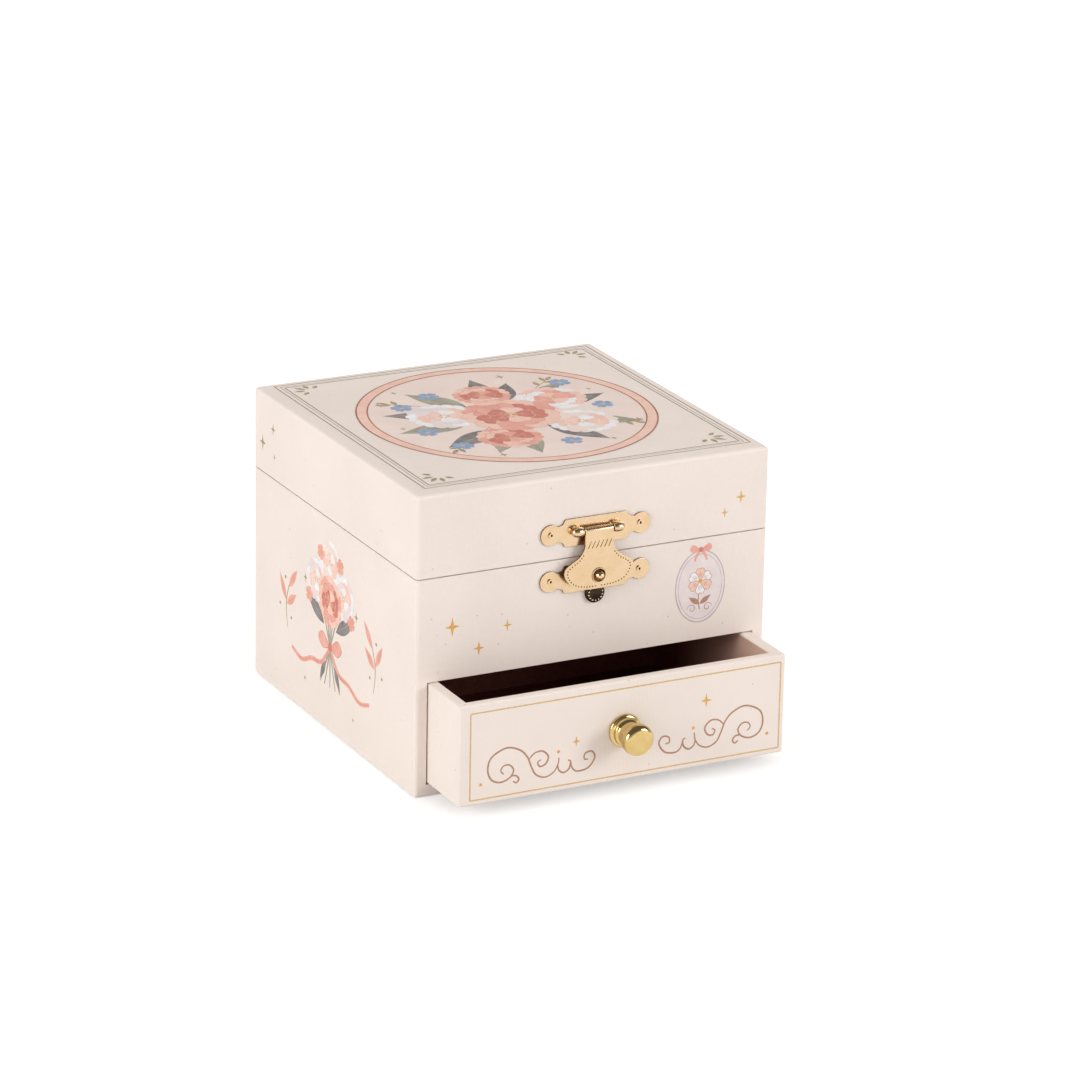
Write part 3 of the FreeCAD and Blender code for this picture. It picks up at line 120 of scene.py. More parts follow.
class Nodes:
    """A node tree that is filled from code."""

    def __init__(self, owner: Union[bpy.types.Material, bpy.types.World]) -> None:
        """Take over and empty a tree.

        Args:
            owner: The material or world that the tree is of.
        """
        self.owner = owner
        owner.use_nodes = True
        self.tree = owner.node_tree
        self.tree.nodes.clear()

    def node(
        self, kind: str, feeds: dict[Union[str, int], Feed] | None = None, **settings: str,
    ) -> bpy.types.Node:
        """Add a node.

        Args:
            kind: The node's type name, without the words that all begin with.
            feeds: Values or sockets for its inputs, by name or number.
            **settings: Properties of the node.

        Returns:
            The new node.
        """
        item = self.tree.nodes.new("ShaderNode" + kind)
        for key, value in settings.items():
            setattr(item, key, value)
        for key, value in (feeds or {}).items():
            self.feed(item.inputs[key], value)
        return item

    def feed(self, socket: Socket, value: Feed) -> None:
        """Link a socket to another, or set its value.

        Args:
            socket: The input.
            value: A socket, a number or a colour with or without its alpha.
        """
        if isinstance(value, Socket):
            self.tree.links.new(value, socket)
        else:
            colour = socket.type == "RGBA" and isinstance(value, tuple) and len(value) == 3
            socket.default_value = (*value, 1.0) if colour else value

    def show(self, shader: bpy.types.Node) -> None:
        """Send a shader to the owner's surface."""
        output = self.node("OutputWorld" if isinstance(self.owner, bpy.types.World) else "OutputMaterial")
        self.feed(output.inputs["Surface"], shader.outputs[0])

    def span(self, value: Feed, low: float, high: float, to_low: Feed = 0.0, to_high: Feed = 1.0) -> Socket:
        """Map a range of values onto another, held at its ends."""
        return self.node("MapRange", {0: value, 1: low, 2: high, 3: to_low, 4: to_high}).outputs[0]

    def sums(self, first: Feed, second: Feed, way: str = "ADD") -> Socket:
        """Work out a sum, product or other plain result of two values."""
        return self.node("Math", {0: first, 1: second}, operation=way).outputs[0]


class Graph(Nodes):
    """The node graph of one finish, on object coordinates."""

    wave_scale = 20
    linen_pitch = 0.42
    linen_wander = 1.6

    def __init__(self, name: str) -> None:
        """Start a material with a plain Principled shader.

        Args:
            name: The material's name.
        """
        super().__init__(bpy.data.materials.new(name))
        self.shader = self.node("BsdfPrincipled")
        self.show(self.shader)
        self.coords = self.node("TexCoord").outputs["Object"]

    def set(self, **values: Feed) -> None:
        """Feed the shader's inputs; underscores in a name stand for spaces."""
        for key, value in values.items():
            self.feed(self.shader.inputs[key.replace("_", " ")], value)

    def noise(self, size_mm: float, detail: float = 2.0, rough: float = 0.5) -> Socket:
        """A noise whose lumps are about size_mm across."""
        feeds = {"Vector": self.coords, "Scale": 1 / (size_mm * MM), "Detail": detail, "Roughness": rough}
        return self.node("TexNoise", feeds).outputs["Fac"]

    def threads(self, way: str) -> Socket:
        """Draw bands like the threads of linen.

        Args:
            way: The axis that they are counted along.

        Returns:
            The bands' pattern.
        """
        scale = 2 * math.pi / (self.wave_scale * self.linen_pitch * MM)
        feeds = {"Vector": self.coords, "Scale": scale, "Distortion": self.linen_wander, "Detail": 2.0}
        return self.node("TexWave", feeds, bands_direction=way).outputs["Fac"]

    def linen(self) -> Socket:
        """A linen grain: threads along all three axes."""
        return self.sums(self.sums(self.threads("X"), self.threads("Y")), self.threads("Z"))

    def cells(self, size_mm: float, feature: str = "F1") -> Socket:
        """Distance within cells of about size_mm."""
        feeds = {"Vector": self.coords, "Scale": 1 / (size_mm * MM)}
        return self.node("TexVoronoi", feeds, feature=feature).outputs["Distance"]

    def mix(self, share: Feed, first: Feed, second: Feed) -> Socket:
        """Mix two colours."""
        return self.node("Mix", {0: share, 6: first, 7: second}, data_type="RGBA").outputs[2]

    def relief(self, height: Feed, depth_mm: float, strength: float = 1.0) -> None:
        """Raise the surface by a height pattern."""
        feeds = {"Height": height, "Distance": depth_mm * MM, "Strength": strength}
        self.set(Normal=self.node("Bump", feeds).outputs[0])


class Finish:
    """A surface that can be made a material."""

    def material(self, name: str) -> bpy.types.Material:
        """Build the finish as a material.

        Args:
            name: The material's name.

        Returns:
            The material.
        """
        graph = Graph(name)
        self.paint(graph)
        return graph.owner

    def paint(self, g: Graph) -> None:
        """Feed a graph's shader, each finish in its own way."""
        raise NotImplementedError


@dataclass(frozen=True)
class Paper(Finish):
    """Printed cream paper with a fine linen grain and scattered grey flecks."""

    base: Colour
    shade: Colour
    fleck: Colour = tint(176, 164, 155)

    def paint(self, g: Graph) -> None:
        """Mix the wash, the grain and the flecks.

        Args:
            g: The graph to feed.
        """
        wash = g.mix(g.span(g.noise(26, 3), 0.35, 0.65), self.base, self.shade)
        spots = g.span(g.cells(5.2), 0.034, 0.07, 1.0, 0.0)
        spots = g.sums(spots, g.span(g.noise(8, 1), 0.44, 0.5), "MULTIPLY")
        grain = g.linen()
        toned = g.mix(g.span(grain, 0.6, 2.4, 0.0, 0.13), wash, self.fleck)
        g.set(Base_Color=g.mix(g.sums(spots, 0.55, "MULTIPLY"), toned, self.fleck))
        g.set(Roughness=g.span(g.noise(3.0), 0.3, 0.7, 0.62, 0.74), Specular_IOR_Level=0.3)
        g.relief(g.sums(grain, g.noise(0.25, 2)), 0.026, 0.75)


@dataclass(frozen=True)
class Wash(Finish):
    """Printed watercolour: two strengths of one colour that pool, over the paper's grain."""

    light: Colour
    deep: Colour
    pool: float = 4.0

    def paint(self, g: Graph) -> None:
        """Let the colour pool, and pale it at fine edges.

        Args:
            g: The graph to feed.
        """
        bloom = g.mix(g.span(g.noise(self.pool, 4, 0.6), 0.34, 0.66), self.light, self.deep)
        edge = g.span(g.noise(0.5, 2), 0.35, 0.75, 0.0, 0.22)
        g.set(Base_Color=g.mix(edge, bloom, self.light), Specular_IOR_Level=0.25)
        g.set(Roughness=g.span(g.noise(1.4), 0.3, 0.7, 0.6, 0.76))
        g.relief(g.linen(), 0.018, 0.45)


@dataclass(frozen=True)
class Foil(Finish):
    """Stamped metal foil, a little broken by the paper under it."""

    base: Colour
    worn: Colour
    metal: float = 0.55

    def paint(self, g: Graph) -> None:
        """Mix bright and worn foil.

        Args:
            g: The graph to feed.
        """
        g.set(Base_Color=g.mix(g.span(g.noise(0.7, 3), 0.4, 0.7), self.base, self.worn), Metallic=self.metal)
        g.set(Roughness=g.span(g.noise(0.4, 2), 0.3, 0.7, 0.3, 0.48))
        g.relief(g.noise(0.3, 2), 0.01, 0.35)


@dataclass(frozen=True)
class Metal(Finish):
    """Bare metal with fine hairlines and a slight bloom."""

    base: Colour
    bloom: Colour
    polish: float = 0.14
    hairline: float = 0.05

    def paint(self, g: Graph) -> None:
        """Mix the bloom, and rub the surface unevenly.

        Args:
            g: The graph to feed.
        """
        g.set(Base_Color=g.mix(g.span(g.noise(3.2, 3), 0.4, 0.75), self.base, self.bloom), Metallic=1.0)
        rub = g.sums(g.noise(1.6, 3), g.noise(0.22, 1))
        g.set(Roughness=g.span(rub, 0.7, 1.3, self.polish, self.polish + 0.13))
        g.relief(g.noise(self.hairline * 9, 2), self.hairline * 0.05, min(0.3, self.hairline * 4))


@dataclass(frozen=True)
class Flock(Finish):
    """Short velvety pile, mottled where it is brushed, that may be painted paler towards the front: painted
    light there, painted shade behind.
    """

    base: Colour
    dark: Colour
    painted_light_tone: Colour | None = None
    painted_light_span: Point = (-70.0, -42.0)

    def paint(self, g: Graph) -> None:
        """Mix the pile, and paint light along the depth: paler towards the front, darker behind.

        Args:
            g: The graph to feed.
        """
        brushed = g.span(g.noise(22, 3, 0.5), 0.3, 0.75, 0.0, 0.45)
        pile = g.span(g.noise(0.28, 2), 0.3, 0.7, 0.0, 0.6)
        colour = g.mix(pile, g.mix(brushed, self.base, self.dark), self.dark)
        # Painted light and shade: towards the front the pile is mixed to a pale tone where light falls in,
        # and behind it stays dark as painted shade.
        if self.painted_light_tone:
            depth = g.node("SeparateXYZ", {0: g.coords}).outputs["Y"]
            colour = g.mix(g.span(depth, *metres(self.painted_light_span), 1.0, 0.0), colour, self.painted_light_tone)
        g.set(Base_Color=colour, Roughness=0.95, Specular_IOR_Level=0.1)
        g.set(Sheen_Weight=0.16, Sheen_Roughness=0.5, Sheen_Tint=self.base)
        g.relief(g.sums(g.noise(0.28, 2), g.noise(0.7, 2)), 0.12, 0.7)


@dataclass(frozen=True)
class Paint(Finish):
    """Hand-painted or moulded plastic with a soft gloss."""

    base: Colour
    shade: Colour
    gloss: float = 0.38

    def paint(self, g: Graph) -> None:
        """Mix two close tones under an uneven gloss.

        Args:
            g: The graph to feed.
        """
        g.set(Base_Color=g.mix(g.span(g.noise(2.4, 3), 0.35, 0.7), self.base, self.shade))
        g.set(Roughness=g.span(g.noise(0.9, 2), 0.3, 0.7, self.gloss, self.gloss + 0.14))
        g.relief(g.noise(0.35, 2), 0.012, 0.3)


@dataclass(frozen=True)
class Tulle(Finish):
    """Fine net, seen through between its threads."""

    base: Colour
    pale: Colour = tint(252, 236, 230)
    cell: float = 0.42

    def paint(self, g: Graph) -> None:
        """Thin the surface between the threads.

        Args:
            g: The graph to feed.
        """
        thread = g.span(g.cells(self.cell, "DISTANCE_TO_EDGE"), 0.05, 0.16, 1.0, 0.42)
        g.set(Base_Color=g.mix(g.noise(3, 2), self.base, self.pale), Alpha=thread)
        g.set(Roughness=0.7, Sheen_Weight=0.4)


@dataclass(frozen=True)
class Silvering(Finish):
    """Silvered glass with a faint haze."""

    base: Colour = (0.86, 0.88, 0.88)
    haze: Colour = (0.82, 0.84, 0.85)

    def paint(self, g: Graph) -> None:
        """Mix the silver and its haze."""
        g.set(Base_Color=g.mix(g.noise(30, 2), self.base, self.haze), Metallic=1.0)
        g.set(Roughness=g.span(g.noise(14, 4), 0.45, 0.8, 0.015, 0.05))


class Look(Enum):
    """The object's finishes."""

    CREAM_PAPER = Paper(tint(244, 231, 222), tint(240, 227, 218))
    BORDER_FOIL = Foil(tint(146, 118, 86), tint(124, 98, 70), 0.2)
    STAR_FOIL = Foil(tint(224, 174, 92), tint(204, 152, 74), 0.3)
    SPRIG_FOIL = Foil(tint(166, 142, 88), tint(140, 116, 68), 0.2)
    DRAWER_FOIL = Foil(tint(214, 178, 118), tint(196, 160, 104), 0.4)
    SCROLL_FOIL = Foil(tint(182, 136, 112), tint(164, 118, 94), 0.15)
    CORAL = Wash(tint(236, 178, 162), tint(226, 156, 140))
    CORAL_PALE = Wash(tint(243, 206, 190), tint(237, 190, 172))
    CORAL_DEEP = Wash(tint(216, 138, 122), tint(198, 118, 104), 2.0)
    RING_LINE = Wash(tint(182, 128, 98), tint(158, 106, 78), 6.0)
    BLUSH = Wash(tint(240, 222, 212), tint(234, 212, 202), 14.0)
    TAUPE = Wash(tint(150, 142, 140), tint(118, 112, 112))
    SLATE = Wash(tint(112, 110, 114), tint(86, 86, 92), 2.0)
    SAGE = Wash(tint(178, 172, 154), tint(150, 145, 128))
    BLUE = Wash(tint(160, 178, 204), tint(130, 152, 186), 2.0)
    WHITE = Wash(tint(244, 241, 240), tint(228, 227, 230))
    MAUVE = Wash(tint(234, 222, 220), tint(224, 210, 210))
    MAUVE_LINE = Wash(tint(200, 184, 184), tint(182, 164, 166))
    POLISHED_BRASS = Metal(tint(224, 196, 150), tint(217, 186, 135), 0.12)
    STAMPED_BRASS = Metal(tint(221, 192, 156), tint(216, 184, 144), 0.17, 0.02)
    # Dark brass for stamped edges: painted shade and painted dark reflection along the plates' and the
    # shield's rims.
    CUT_BRASS = Metal(tint(126, 96, 54), tint(96, 70, 38), 0.3)
    DARK_BRASS = Metal(tint(112, 86, 50), tint(84, 62, 36), 0.3)
    # Near-black brass used only as painted shade: the nail-hole shadows and the rosette under the flap.
    AGED_BRASS = Metal(tint(62, 52, 40), tint(40, 33, 26), 0.28)
    KNOB_BRASS = Metal(tint(215, 188, 129), tint(208, 176, 110), 0.05, 0.01)
    PLAIN_BRASS = Metal(tint(206, 168, 92), tint(186, 146, 76), 0.24)
    STEEL = Metal((0.55, 0.55, 0.57), (0.45, 0.45, 0.48), 0.24)
    CAST_ALLOY = Metal((0.5, 0.49, 0.47), (0.4, 0.4, 0.4), 0.42, 0.3)
    ROSE_FLOCK = Flock(tint(158, 112, 100), tint(112, 66, 58))
    DRAWER_FLOCK = Flock(tint(112, 66, 58), tint(76, 40, 34))
    # Drawer walls: pale at the front as painted light, dark towards the back as painted shade.
    WALL_FLOCK = Flock(tint(128, 80, 70), tint(84, 46, 40), tint(218, 182, 162), (-73.0, -18.0))
    PEARL = Paint(tint(248, 240, 234), tint(244, 234, 227), 0.3)
    SKIN = Paint(tint(240, 206, 184), tint(234, 194, 172))
    SATIN = Paint(tint(226, 150, 138), tint(214, 132, 122), 0.3)
    HAIR = Paint(tint(98, 66, 46), tint(74, 48, 34), 0.42)
    LASH = Paint(tint(70, 48, 40), tint(54, 38, 32))
    LIP = Paint(tint(206, 110, 104), tint(190, 96, 92))
    FAN_SHEET = Paint(tint(236, 230, 220), tint(222, 214, 202))
    TULLE = Tulle(tint(246, 206, 198))
    MIRROR = Silvering()


class Palette:
    """Materials of the finishes, each made once."""

    made: dict[Look, bpy.types.Material] = {}

    @classmethod
    def of(cls, look: Look) -> bpy.types.Material:
        """Find or make the material of a finish.

        Args:
            look: The finish.

        Returns:
            Its material.
        """
        if look not in cls.made:
            cls.made[look] = look.value.material(look.name.lower())
        return cls.made[look]


@dataclass(frozen=True)
class Panel:
    """A flat face that takes a print, with its corner, its two ways and its outward side."""

    corner: Point
    across: Point
    up: Point
    out: Point
    body: str

    def at(self, u: float, v: float, lift: float) -> Point:
        """The place of a print's point, in millimetres."""
        ways = zip(self.corner, self.across, self.up, self.out)
        return tuple(c + a * u + b * v + o * lift for c, a, b, o in ways)


def clear() -> None:
    """Deselect everything."""
    bpy.ops.object.select_all(action="DESELECT")


def mode(name: str) -> None:
    """Enter edit or object mode."""
    bpy.ops.object.mode_set(mode=name)


def choose(item: Item) -> None:
    """Make one object the only selected and the active one.

    Args:
        item: The object.
    """
    clear()
    item.select_set(True)
    bpy.context.view_layer.objects.active = item


def edit(item: Item) -> None:
    """Enter edit mode with all of one object selected.

    Args:
        item: The object.
    """
    choose(item)
    mode("EDIT")
    bpy.ops.mesh.select_all(action="SELECT")


def pick(item: Item, chosen: Test) -> None:
    """Enter edit mode with only some faces of one object selected.

    Args:
        item: The object.
        chosen: Says whether a face is selected.
    """
    edit(item)
    bpy.ops.mesh.select_all(action="DESELECT")
    bpy.ops.mesh.select_mode(type="FACE")
    mode("OBJECT")
    for face in item.data.polygons:
        face.select = chosen(face)
    mode("EDIT")


def shade(angle: float) -> None:
    """Shade the chosen object smoothly below an angle in degrees."""
    bpy.ops.object.shade_smooth_by_angle(angle=math.radians(angle))


def settle(item: Item) -> Item:
    """Move an object's place, turn and scale into its mesh.

    Args:
        item: The object.

    Returns:
        The object.
    """
    choose(item)
    bpy.ops.object.transform_apply(location=True, rotation=True, scale=True)
    return item


def tidy(item: Item, angle: float = 40.0) -> Item:
    """Merge doubles, turn faces outwards and shade smoothly.

    Args:
        item: The object.
        angle: Edges below this angle are shaded smoothly.

    Returns:
        The object.
    """
    edit(item)
    bpy.ops.mesh.remove_doubles(threshold=1e-7)
    bpy.ops.mesh.normals_make_consistent(inside=False)
    mode("OBJECT")
    shade(angle)
    return item


def mesh(
    name: str, points: Sequence[Point], faces: Sequence[Point] = (), edges: Sequence[Point] = (),
) -> Item:
    """Make a mesh object.

    Args:
        name: The object's name.
        points: Its vertices.
        faces: Its faces, by vertex number.
        edges: Its loose edges, by vertex number.

    Returns:
        The object.
    """
    data = bpy.data.meshes.new(name)
    data.from_pydata([metres(point) for point in points], list(edges), list(faces))
    item = bpy.data.objects.new(name, data)
    bpy.context.scene.collection.objects.link(item)
    return item


def block(name: str, low: Point, high: Point) -> Item:
    """Add a cube at its size and place.

    Args:
        name: The object's name.
        low: Its lowest corner.
        high: Its highest corner.

    Returns:
        The block.
    """
    clear()
    first, last = Vector(low) * MM, Vector(high) * MM
    bpy.ops.mesh.primitive_cube_add(size=1, location=tuple((first + last) / 2), scale=tuple(last - first))
    item = settle(bpy.context.active_object)
    item.name = name
    return item


def ball(name: str, centre: Point, size: Point, rings: int = 16) -> Item:
    """Stretch a ball in place.

    Args:
        name: The object's name.
        centre: Its middle.
        size: Its three radii.
        rings: Rings of faces from pole to pole.

    Returns:
        The ball.
    """
    clear()
    bpy.ops.mesh.primitive_uv_sphere_add(
        segments=rings * 2, ring_count=rings, radius=MM, location=metres(centre))
    item = bpy.context.active_object
    item.name, item.scale = name, size
    settle(item)
    bpy.ops.object.shade_smooth()
    return item


def lathe(name: str, profile: Sequence[Point], centre: Point, axis: Point, steps: int = 64) -> Item:
    """Spin a profile round an axis.

    Args:
        name: The piece's name.
        profile: Pairs of a radius and a distance along the axis.
        centre: Where the axis starts.
        axis: The axis' direction.
        steps: Pieces of the full turn.

    Returns:
        The spun object.
    """
    way = Vector(axis)
    side = Vector((0, 0, 1)) if axis[0] else Vector((1, 0, 0))
    points = [tuple(Vector(centre) + way * far + side * radius) for radius, far in profile]
    edges = [(index, index + 1) for index in range(len(points) - 1)]
    item = mesh(name, points, (), edges)
    edit(item)
    bpy.ops.mesh.spin(steps=steps, angle=2 * math.pi, center=metres(centre), axis=axis)
    mode("OBJECT")
    return tidy(item)


def limb(name: str, path: Sequence[Point], radii: Sequence[float], sides: int = 16, steps: int = 6) -> Item:
    """Sweep a round limb that swells and tapers along a smooth path.

    Args:
        name: The piece's name.
        path: Points of its middle line.
        radii: Its radius at each point.
        sides: Faces round it.
        steps: Rings between two points.

    Returns:
        The closed limb.
    """
    line = smooth([(*point, radius) for point, radius in zip(path, radii)], steps)
    points, faces = [], []
    across = Vector((1, 0, 0))
    for index, stop in enumerate(line):
        ahead = Vector(line[min(index + 1, len(line) - 1)][:3]) - Vector(line[max(index - 1, 0)][:3])
        ahead.normalize()
        across = across - ahead * across.dot(ahead)
        if across.length < 1e-6:
            across = ahead.orthogonal()
        across.normalize()
        other = ahead.cross(across)
        for turn in (2 * math.pi * side / sides for side in range(sides)):
            out = across * math.cos(turn) + other * math.sin(turn)
            points.append(tuple(Vector(stop[:3]) + out * stop[3]))
    for low in range(0, len(points) - sides, sides):
        for side in range(sides):
            after = (side + 1) % sides
            faces.append((low + side, low + after, low + sides + after, low + sides + side))
    faces.append(tuple(reversed(range(sides))))
    faces.append(tuple(range(len(points) - sides, len(points))))
    return tidy(mesh(name, points, faces), 60)


def beads(name: str, places: Sequence[Point], size: Point) -> Item:
    """Model one small dome and copy it to many places in one piece.

    Args:
        name: The piece's name.
        places: The domes' middles.
        size: A dome's three radii.

    Returns:
        The piece.
    """
    first = ball(name + "_bead", (0, 0, 0), size, 5)
    shape = [vertex.co / MM for vertex in first.data.vertices]
    loops = [tuple(face.vertices) for face in first.data.polygons]
    bpy.data.objects.remove(first)
    points, faces = [], []
    for place in places:
        faces += [tuple(len(points) + index for index in loop) for loop in loops]
        points += [tuple(Vector(place) + point) for point in shape]
    return tidy(mesh(name, points, faces), 80)


def join(name: str, items: Sequence[Item]) -> Item:
    """Join objects into one piece.

    Args:
        name: The piece's name.
        items: The objects.

    Returns:
        The piece.
    """
    choose(items[0])
    for item in items:
        item.select_set(True)
    bpy.ops.object.join()
    items[0].name = name
    return items[0]


def soften(item: Item, width: float) -> Item:
    """Round a piece's sharp edges with an applied bevel.

    Args:
        item: The piece.
        width: The bevel's width.

    Returns:
        The piece.
    """
    choose(item)
    bevel = item.modifiers.new("edge", "BEVEL")
    bevel.width, bevel.segments = width * MM, 3
    bevel.limit_method, bevel.angle_limit = "ANGLE", math.radians(40)
    bpy.ops.object.modifier_apply(modifier="edge")
    shade(35)
    return item


def stamping(
    name: str, panel: Panel, loops: Sequence[Sequence[Point]], low: float, high: float, edge: float,
) -> Item:
    """Cut a flat sheet to an outline with holes, give it a thickness and round its edges.

    Args:
        name: The piece's name.
        panel: The face that the outline is drawn on.
        loops: The outline, then the holes, as points on the panel.
        low: The back's distance off the panel.
        high: The front's distance off the panel.
        edge: The radius of the edges.

    Returns:
        The stamped piece.
    """
    points, edges = [], []
    for loop in loops:
        start, count = len(points), len(loop)
        points += [panel.at(u, v, low) for u, v in loop]
        edges += [(start + index, start + (index + 1) % count) for index in range(count)]
    item = mesh(name, points, (), edges)
    edit(item)
    bpy.ops.mesh.fill(use_beauty=True)
    bpy.ops.mesh.select_all(action="SELECT")
    move = tuple(part * (high - low) * MM for part in panel.out)
    bpy.ops.mesh.extrude_region_move(TRANSFORM_OT_translate={"value": move})
    mode("OBJECT")
    return soften(tidy(item), edge)


def dress(item: Item, look: Look, body: str) -> Item:
    """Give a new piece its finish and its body.

    Args:
        item: The piece.
        look: Its finish.
        body: The body it rides on.

    Returns:
        The piece.
    """
    item.data.materials.clear()
    item.data.materials.append(Palette.of(look))
    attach(item, body)
    LOG.info("%s rides on %s in %s", item.name, body, look.name.lower())
    return item


def tint_edges(item: Item, look: Look, chosen: Test) -> None:
    """Give a piece's chosen faces a second finish.

    Args:
        item: A dressed piece.
        look: The second finish.
        chosen: Says whether a face takes it.
    """
    item.data.materials.append(Palette.of(look))
    for face in item.data.polygons:
        if chosen(face):
            face.material_index = 1


def refinish(look: Look, *nodes: str) -> None:
    """Give carried-over nodes a finish.

    Args:
        look: The finish.
        *nodes: The nodes' names.
    """
    for name in nodes:
        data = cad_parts[name].data
        data.materials.clear()
        data.materials.append(Palette.of(look))
        LOG.info("%s keeps its shape in %s", name, look.name.lower())


class Print:
    """Flat printed shapes on one panel, kept by finish and laid in order."""

    ground = 0.012
    layer = 0.0009
    overprint = 0.0004
    margin = 0.3
    fine_line = 0.16
    small_sides = 28
    large_sides = 160
    large_radius = 10.0
    petal_rings = ((9, 1.0, 0.72), (7, 0.74, 0.6), (5, 0.48, 0.46))
    ring_turn = 23
    heart_dots = 7
    sprig_stem = ((0, 0), (-1.0, 4.5), (-1.0, 8.5), (0.8, 13.5), (3.2, 17.4))
    sprig_leaves = ((0.8, 13.2, 50, 9.2), (-1.1, 8.4, 122, 9.0), (-0.7, 7.4, 36, 8.4))
    sprig_dots = ((-1.7, 15.5, 0.55), (-5.6, 6.2, 0.5), (2.5, 4.0, 0.5))
    petal_line = smooth((
        (0, 0), (0.3, 0.3), (0.68, 0.5), (0.93, 0.34), (0.95, 0.1), (0.9, 0.0), (0.97, -0.12), (0.92, -0.36),
        (0.66, -0.5), (0.3, -0.28), (0, 0),
    ), 4)[:-1]

    def __init__(self, name: str, panel: Panel) -> None:
        """Start an empty print.

        Args:
            name: The start of its pieces' names.
            panel: The face that it is on.
        """
        self.name = name
        self.panel = panel
        self.laid: list[tuple[Point, int]] = []
        self.points: dict[Look, list[Point]] = {}
        self.faces: dict[Look, list[tuple[int, ...]]] = {}

    def rise(self, line: Sequence[Point]) -> float:
        """Find the height of a shape, a hair above the highest one that it may cover.

        Args:
            line: The shape's points.

        Returns:
            The lift off the panel, in millimetres.
        """
        us, vs = zip(*line)
        low_u, high_u, low_v, high_v = min(us), max(us), min(vs), max(vs)
        box = (low_u - self.margin, high_u + self.margin, low_v - self.margin, high_v + self.margin)
        under = [
            level for (a, b, c, d), level in self.laid
            if a < box[1] and b > box[0] and c < box[3] and d > box[2]
        ]
        level = max(under, default=0) + 1
        self.laid.append((box, level))
        return self.ground + self.layer * level

    def shape(self, look: Look, outline: Sequence[Point]) -> float:
        """Add one filled outline.

        Args:
            look: Its finish.
            outline: Its points.

        Returns:
            Its lift.
        """
        lift = self.rise(outline)
        points = self.points.setdefault(look, [])
        ring = range(len(points), len(points) + len(outline))
        points += [self.panel.at(u, v, lift) for u, v in outline]
        area = sum(a[0] * b[1] - a[1] * b[0] for a, b in zip(outline, [*outline[1:], outline[0]]))
        self.faces.setdefault(look, []).append(tuple(ring if area > 0 else reversed(ring)))
        return lift

    def stroke(
        self, look: Look, line: Sequence[Point], width: float, taper: float = 0.0, closed: bool = False,
        over: float | None = None,
    ) -> None:
        """Add a line.

        Args:
            look: Its finish.
            line: Its points.
            width: Its width.
            taper: The share by which its ends are thinner.
            closed: Whether it runs back to its start.
            over: The lift of the shape it is drawn on, if there is one.
        """
        lift = self.rise(line) if over is None else over + self.overprint
        points = self.points.setdefault(look, [])
        faces = self.faces.setdefault(look, [])
        start, count = len(points), len(line)
        for index, (u, v) in enumerate(line):
            before = line[index - 1] if closed or index else line[0]
            after = line[(index + 1) % count] if closed or index < count - 1 else line[-1]
            du, dv = after[0] - before[0], after[1] - before[1]
            far = math.hypot(du, dv) or 1.0
            half = width / 2 * (1 - taper * (2 * index / max(count - 1, 1) - 1) ** 2) / far
            points.append(self.panel.at(u + dv * half, v - du * half, lift))
            points.append(self.panel.at(u - dv * half, v + du * half, lift))
        for index in range(count if closed else count - 1):
            low, high = start + index * 2, start + (index + 1) % count * 2
            faces.append((low, high, high + 1, low + 1))

    def disc(self, look: Look, u: float, v: float, radius: float, tall: float = 1.0) -> None:
        """Add a round or oval dot."""
        sides = self.small_sides if radius < self.large_radius else self.large_sides
        self.shape(look, circle(u, v, radius, sides, tall))

    def ring(self, look: Look, u: float, v: float, radius: float, width: float, tall: float = 1.0) -> None:
        """Add a round or oval line."""
        self.stroke(look, circle(u, v, radius, self.large_sides, tall), width, closed=True)

    def star(self, look: Look, u: float, v: float, size: float) -> None:
        """Add a four-pointed sparkle with hollow sides."""
        reaches = (0.8, 0.24, 1.0, 0.24) * 2
        self.shape(look, [polar(u, v, size * reach, 45 * step) for step, reach in enumerate(reaches)])

    def stars(self, look: Look, rows: Rows, u: float = 0.0, v: float = 0.0) -> None:
        """Add sparkles at places and sizes."""
        for x, y, size in rows:
            self.star(look, u + x, v + y, size)

    def leaf(
        self, look: Look, u: float, v: float, turn: float, length: float, width: float,
        vein: Look | None = None,
    ) -> None:
        """Add a pointed leaf.

        Args:
            look: Its finish.
            u: Its foot's place across.
            v: Its foot's place up.
            turn: Its way, in degrees from the across way.
            length: Its length.
            width: Its width.
            vein: The finish of its middle line, if it has one.
        """
        runs = [step / 12 for step in range(13)]
        side = [(t * length, math.sin(math.pi * t**0.85) ** 1.15 * width / 2) for t in runs]
        flat = side + [(x, -y) for x, y in reversed(side[1:-1])]
        lift = self.shape(look, turned(flat, u, v, turn))
        if vein:
            middle = [polar(u, v, length * t, turn) for t in (0.05, 0.3, 0.6, 0.88)]
            self.stroke(vein, middle, max(width * 0.05, 0.14), 0.8, over=lift)

    def petal(
        self, look: Look, u: float, v: float, turn: float, length: float, width: float,
        vein: Look | None = None,
    ) -> None:
        """Add a round-ended petal with a notch.

        Args:
            look: Its finish.
            u: Its foot's place across.
            v: Its foot's place up.
            turn: Its way, in degrees from the across way.
            length: Its length.
            width: Its width.
            vein: The finish of its outline and veins, if it has them.
        """
        outline = turned([(x * length, y * width) for x, y in self.petal_line], u, v, turn)
        lift = self.shape(look, outline)
        if vein:
            self.stroke(vein, outline, self.fine_line, closed=True, over=lift)
            for lean, tip in ((-13, 0.66), (0, 0.78), (13, 0.66)):
                line = [polar(u, v, length * t, turn + lean) for t in (0.3, 0.5, tip)]
                self.stroke(vein, line, self.fine_line, 0.8, over=lift)

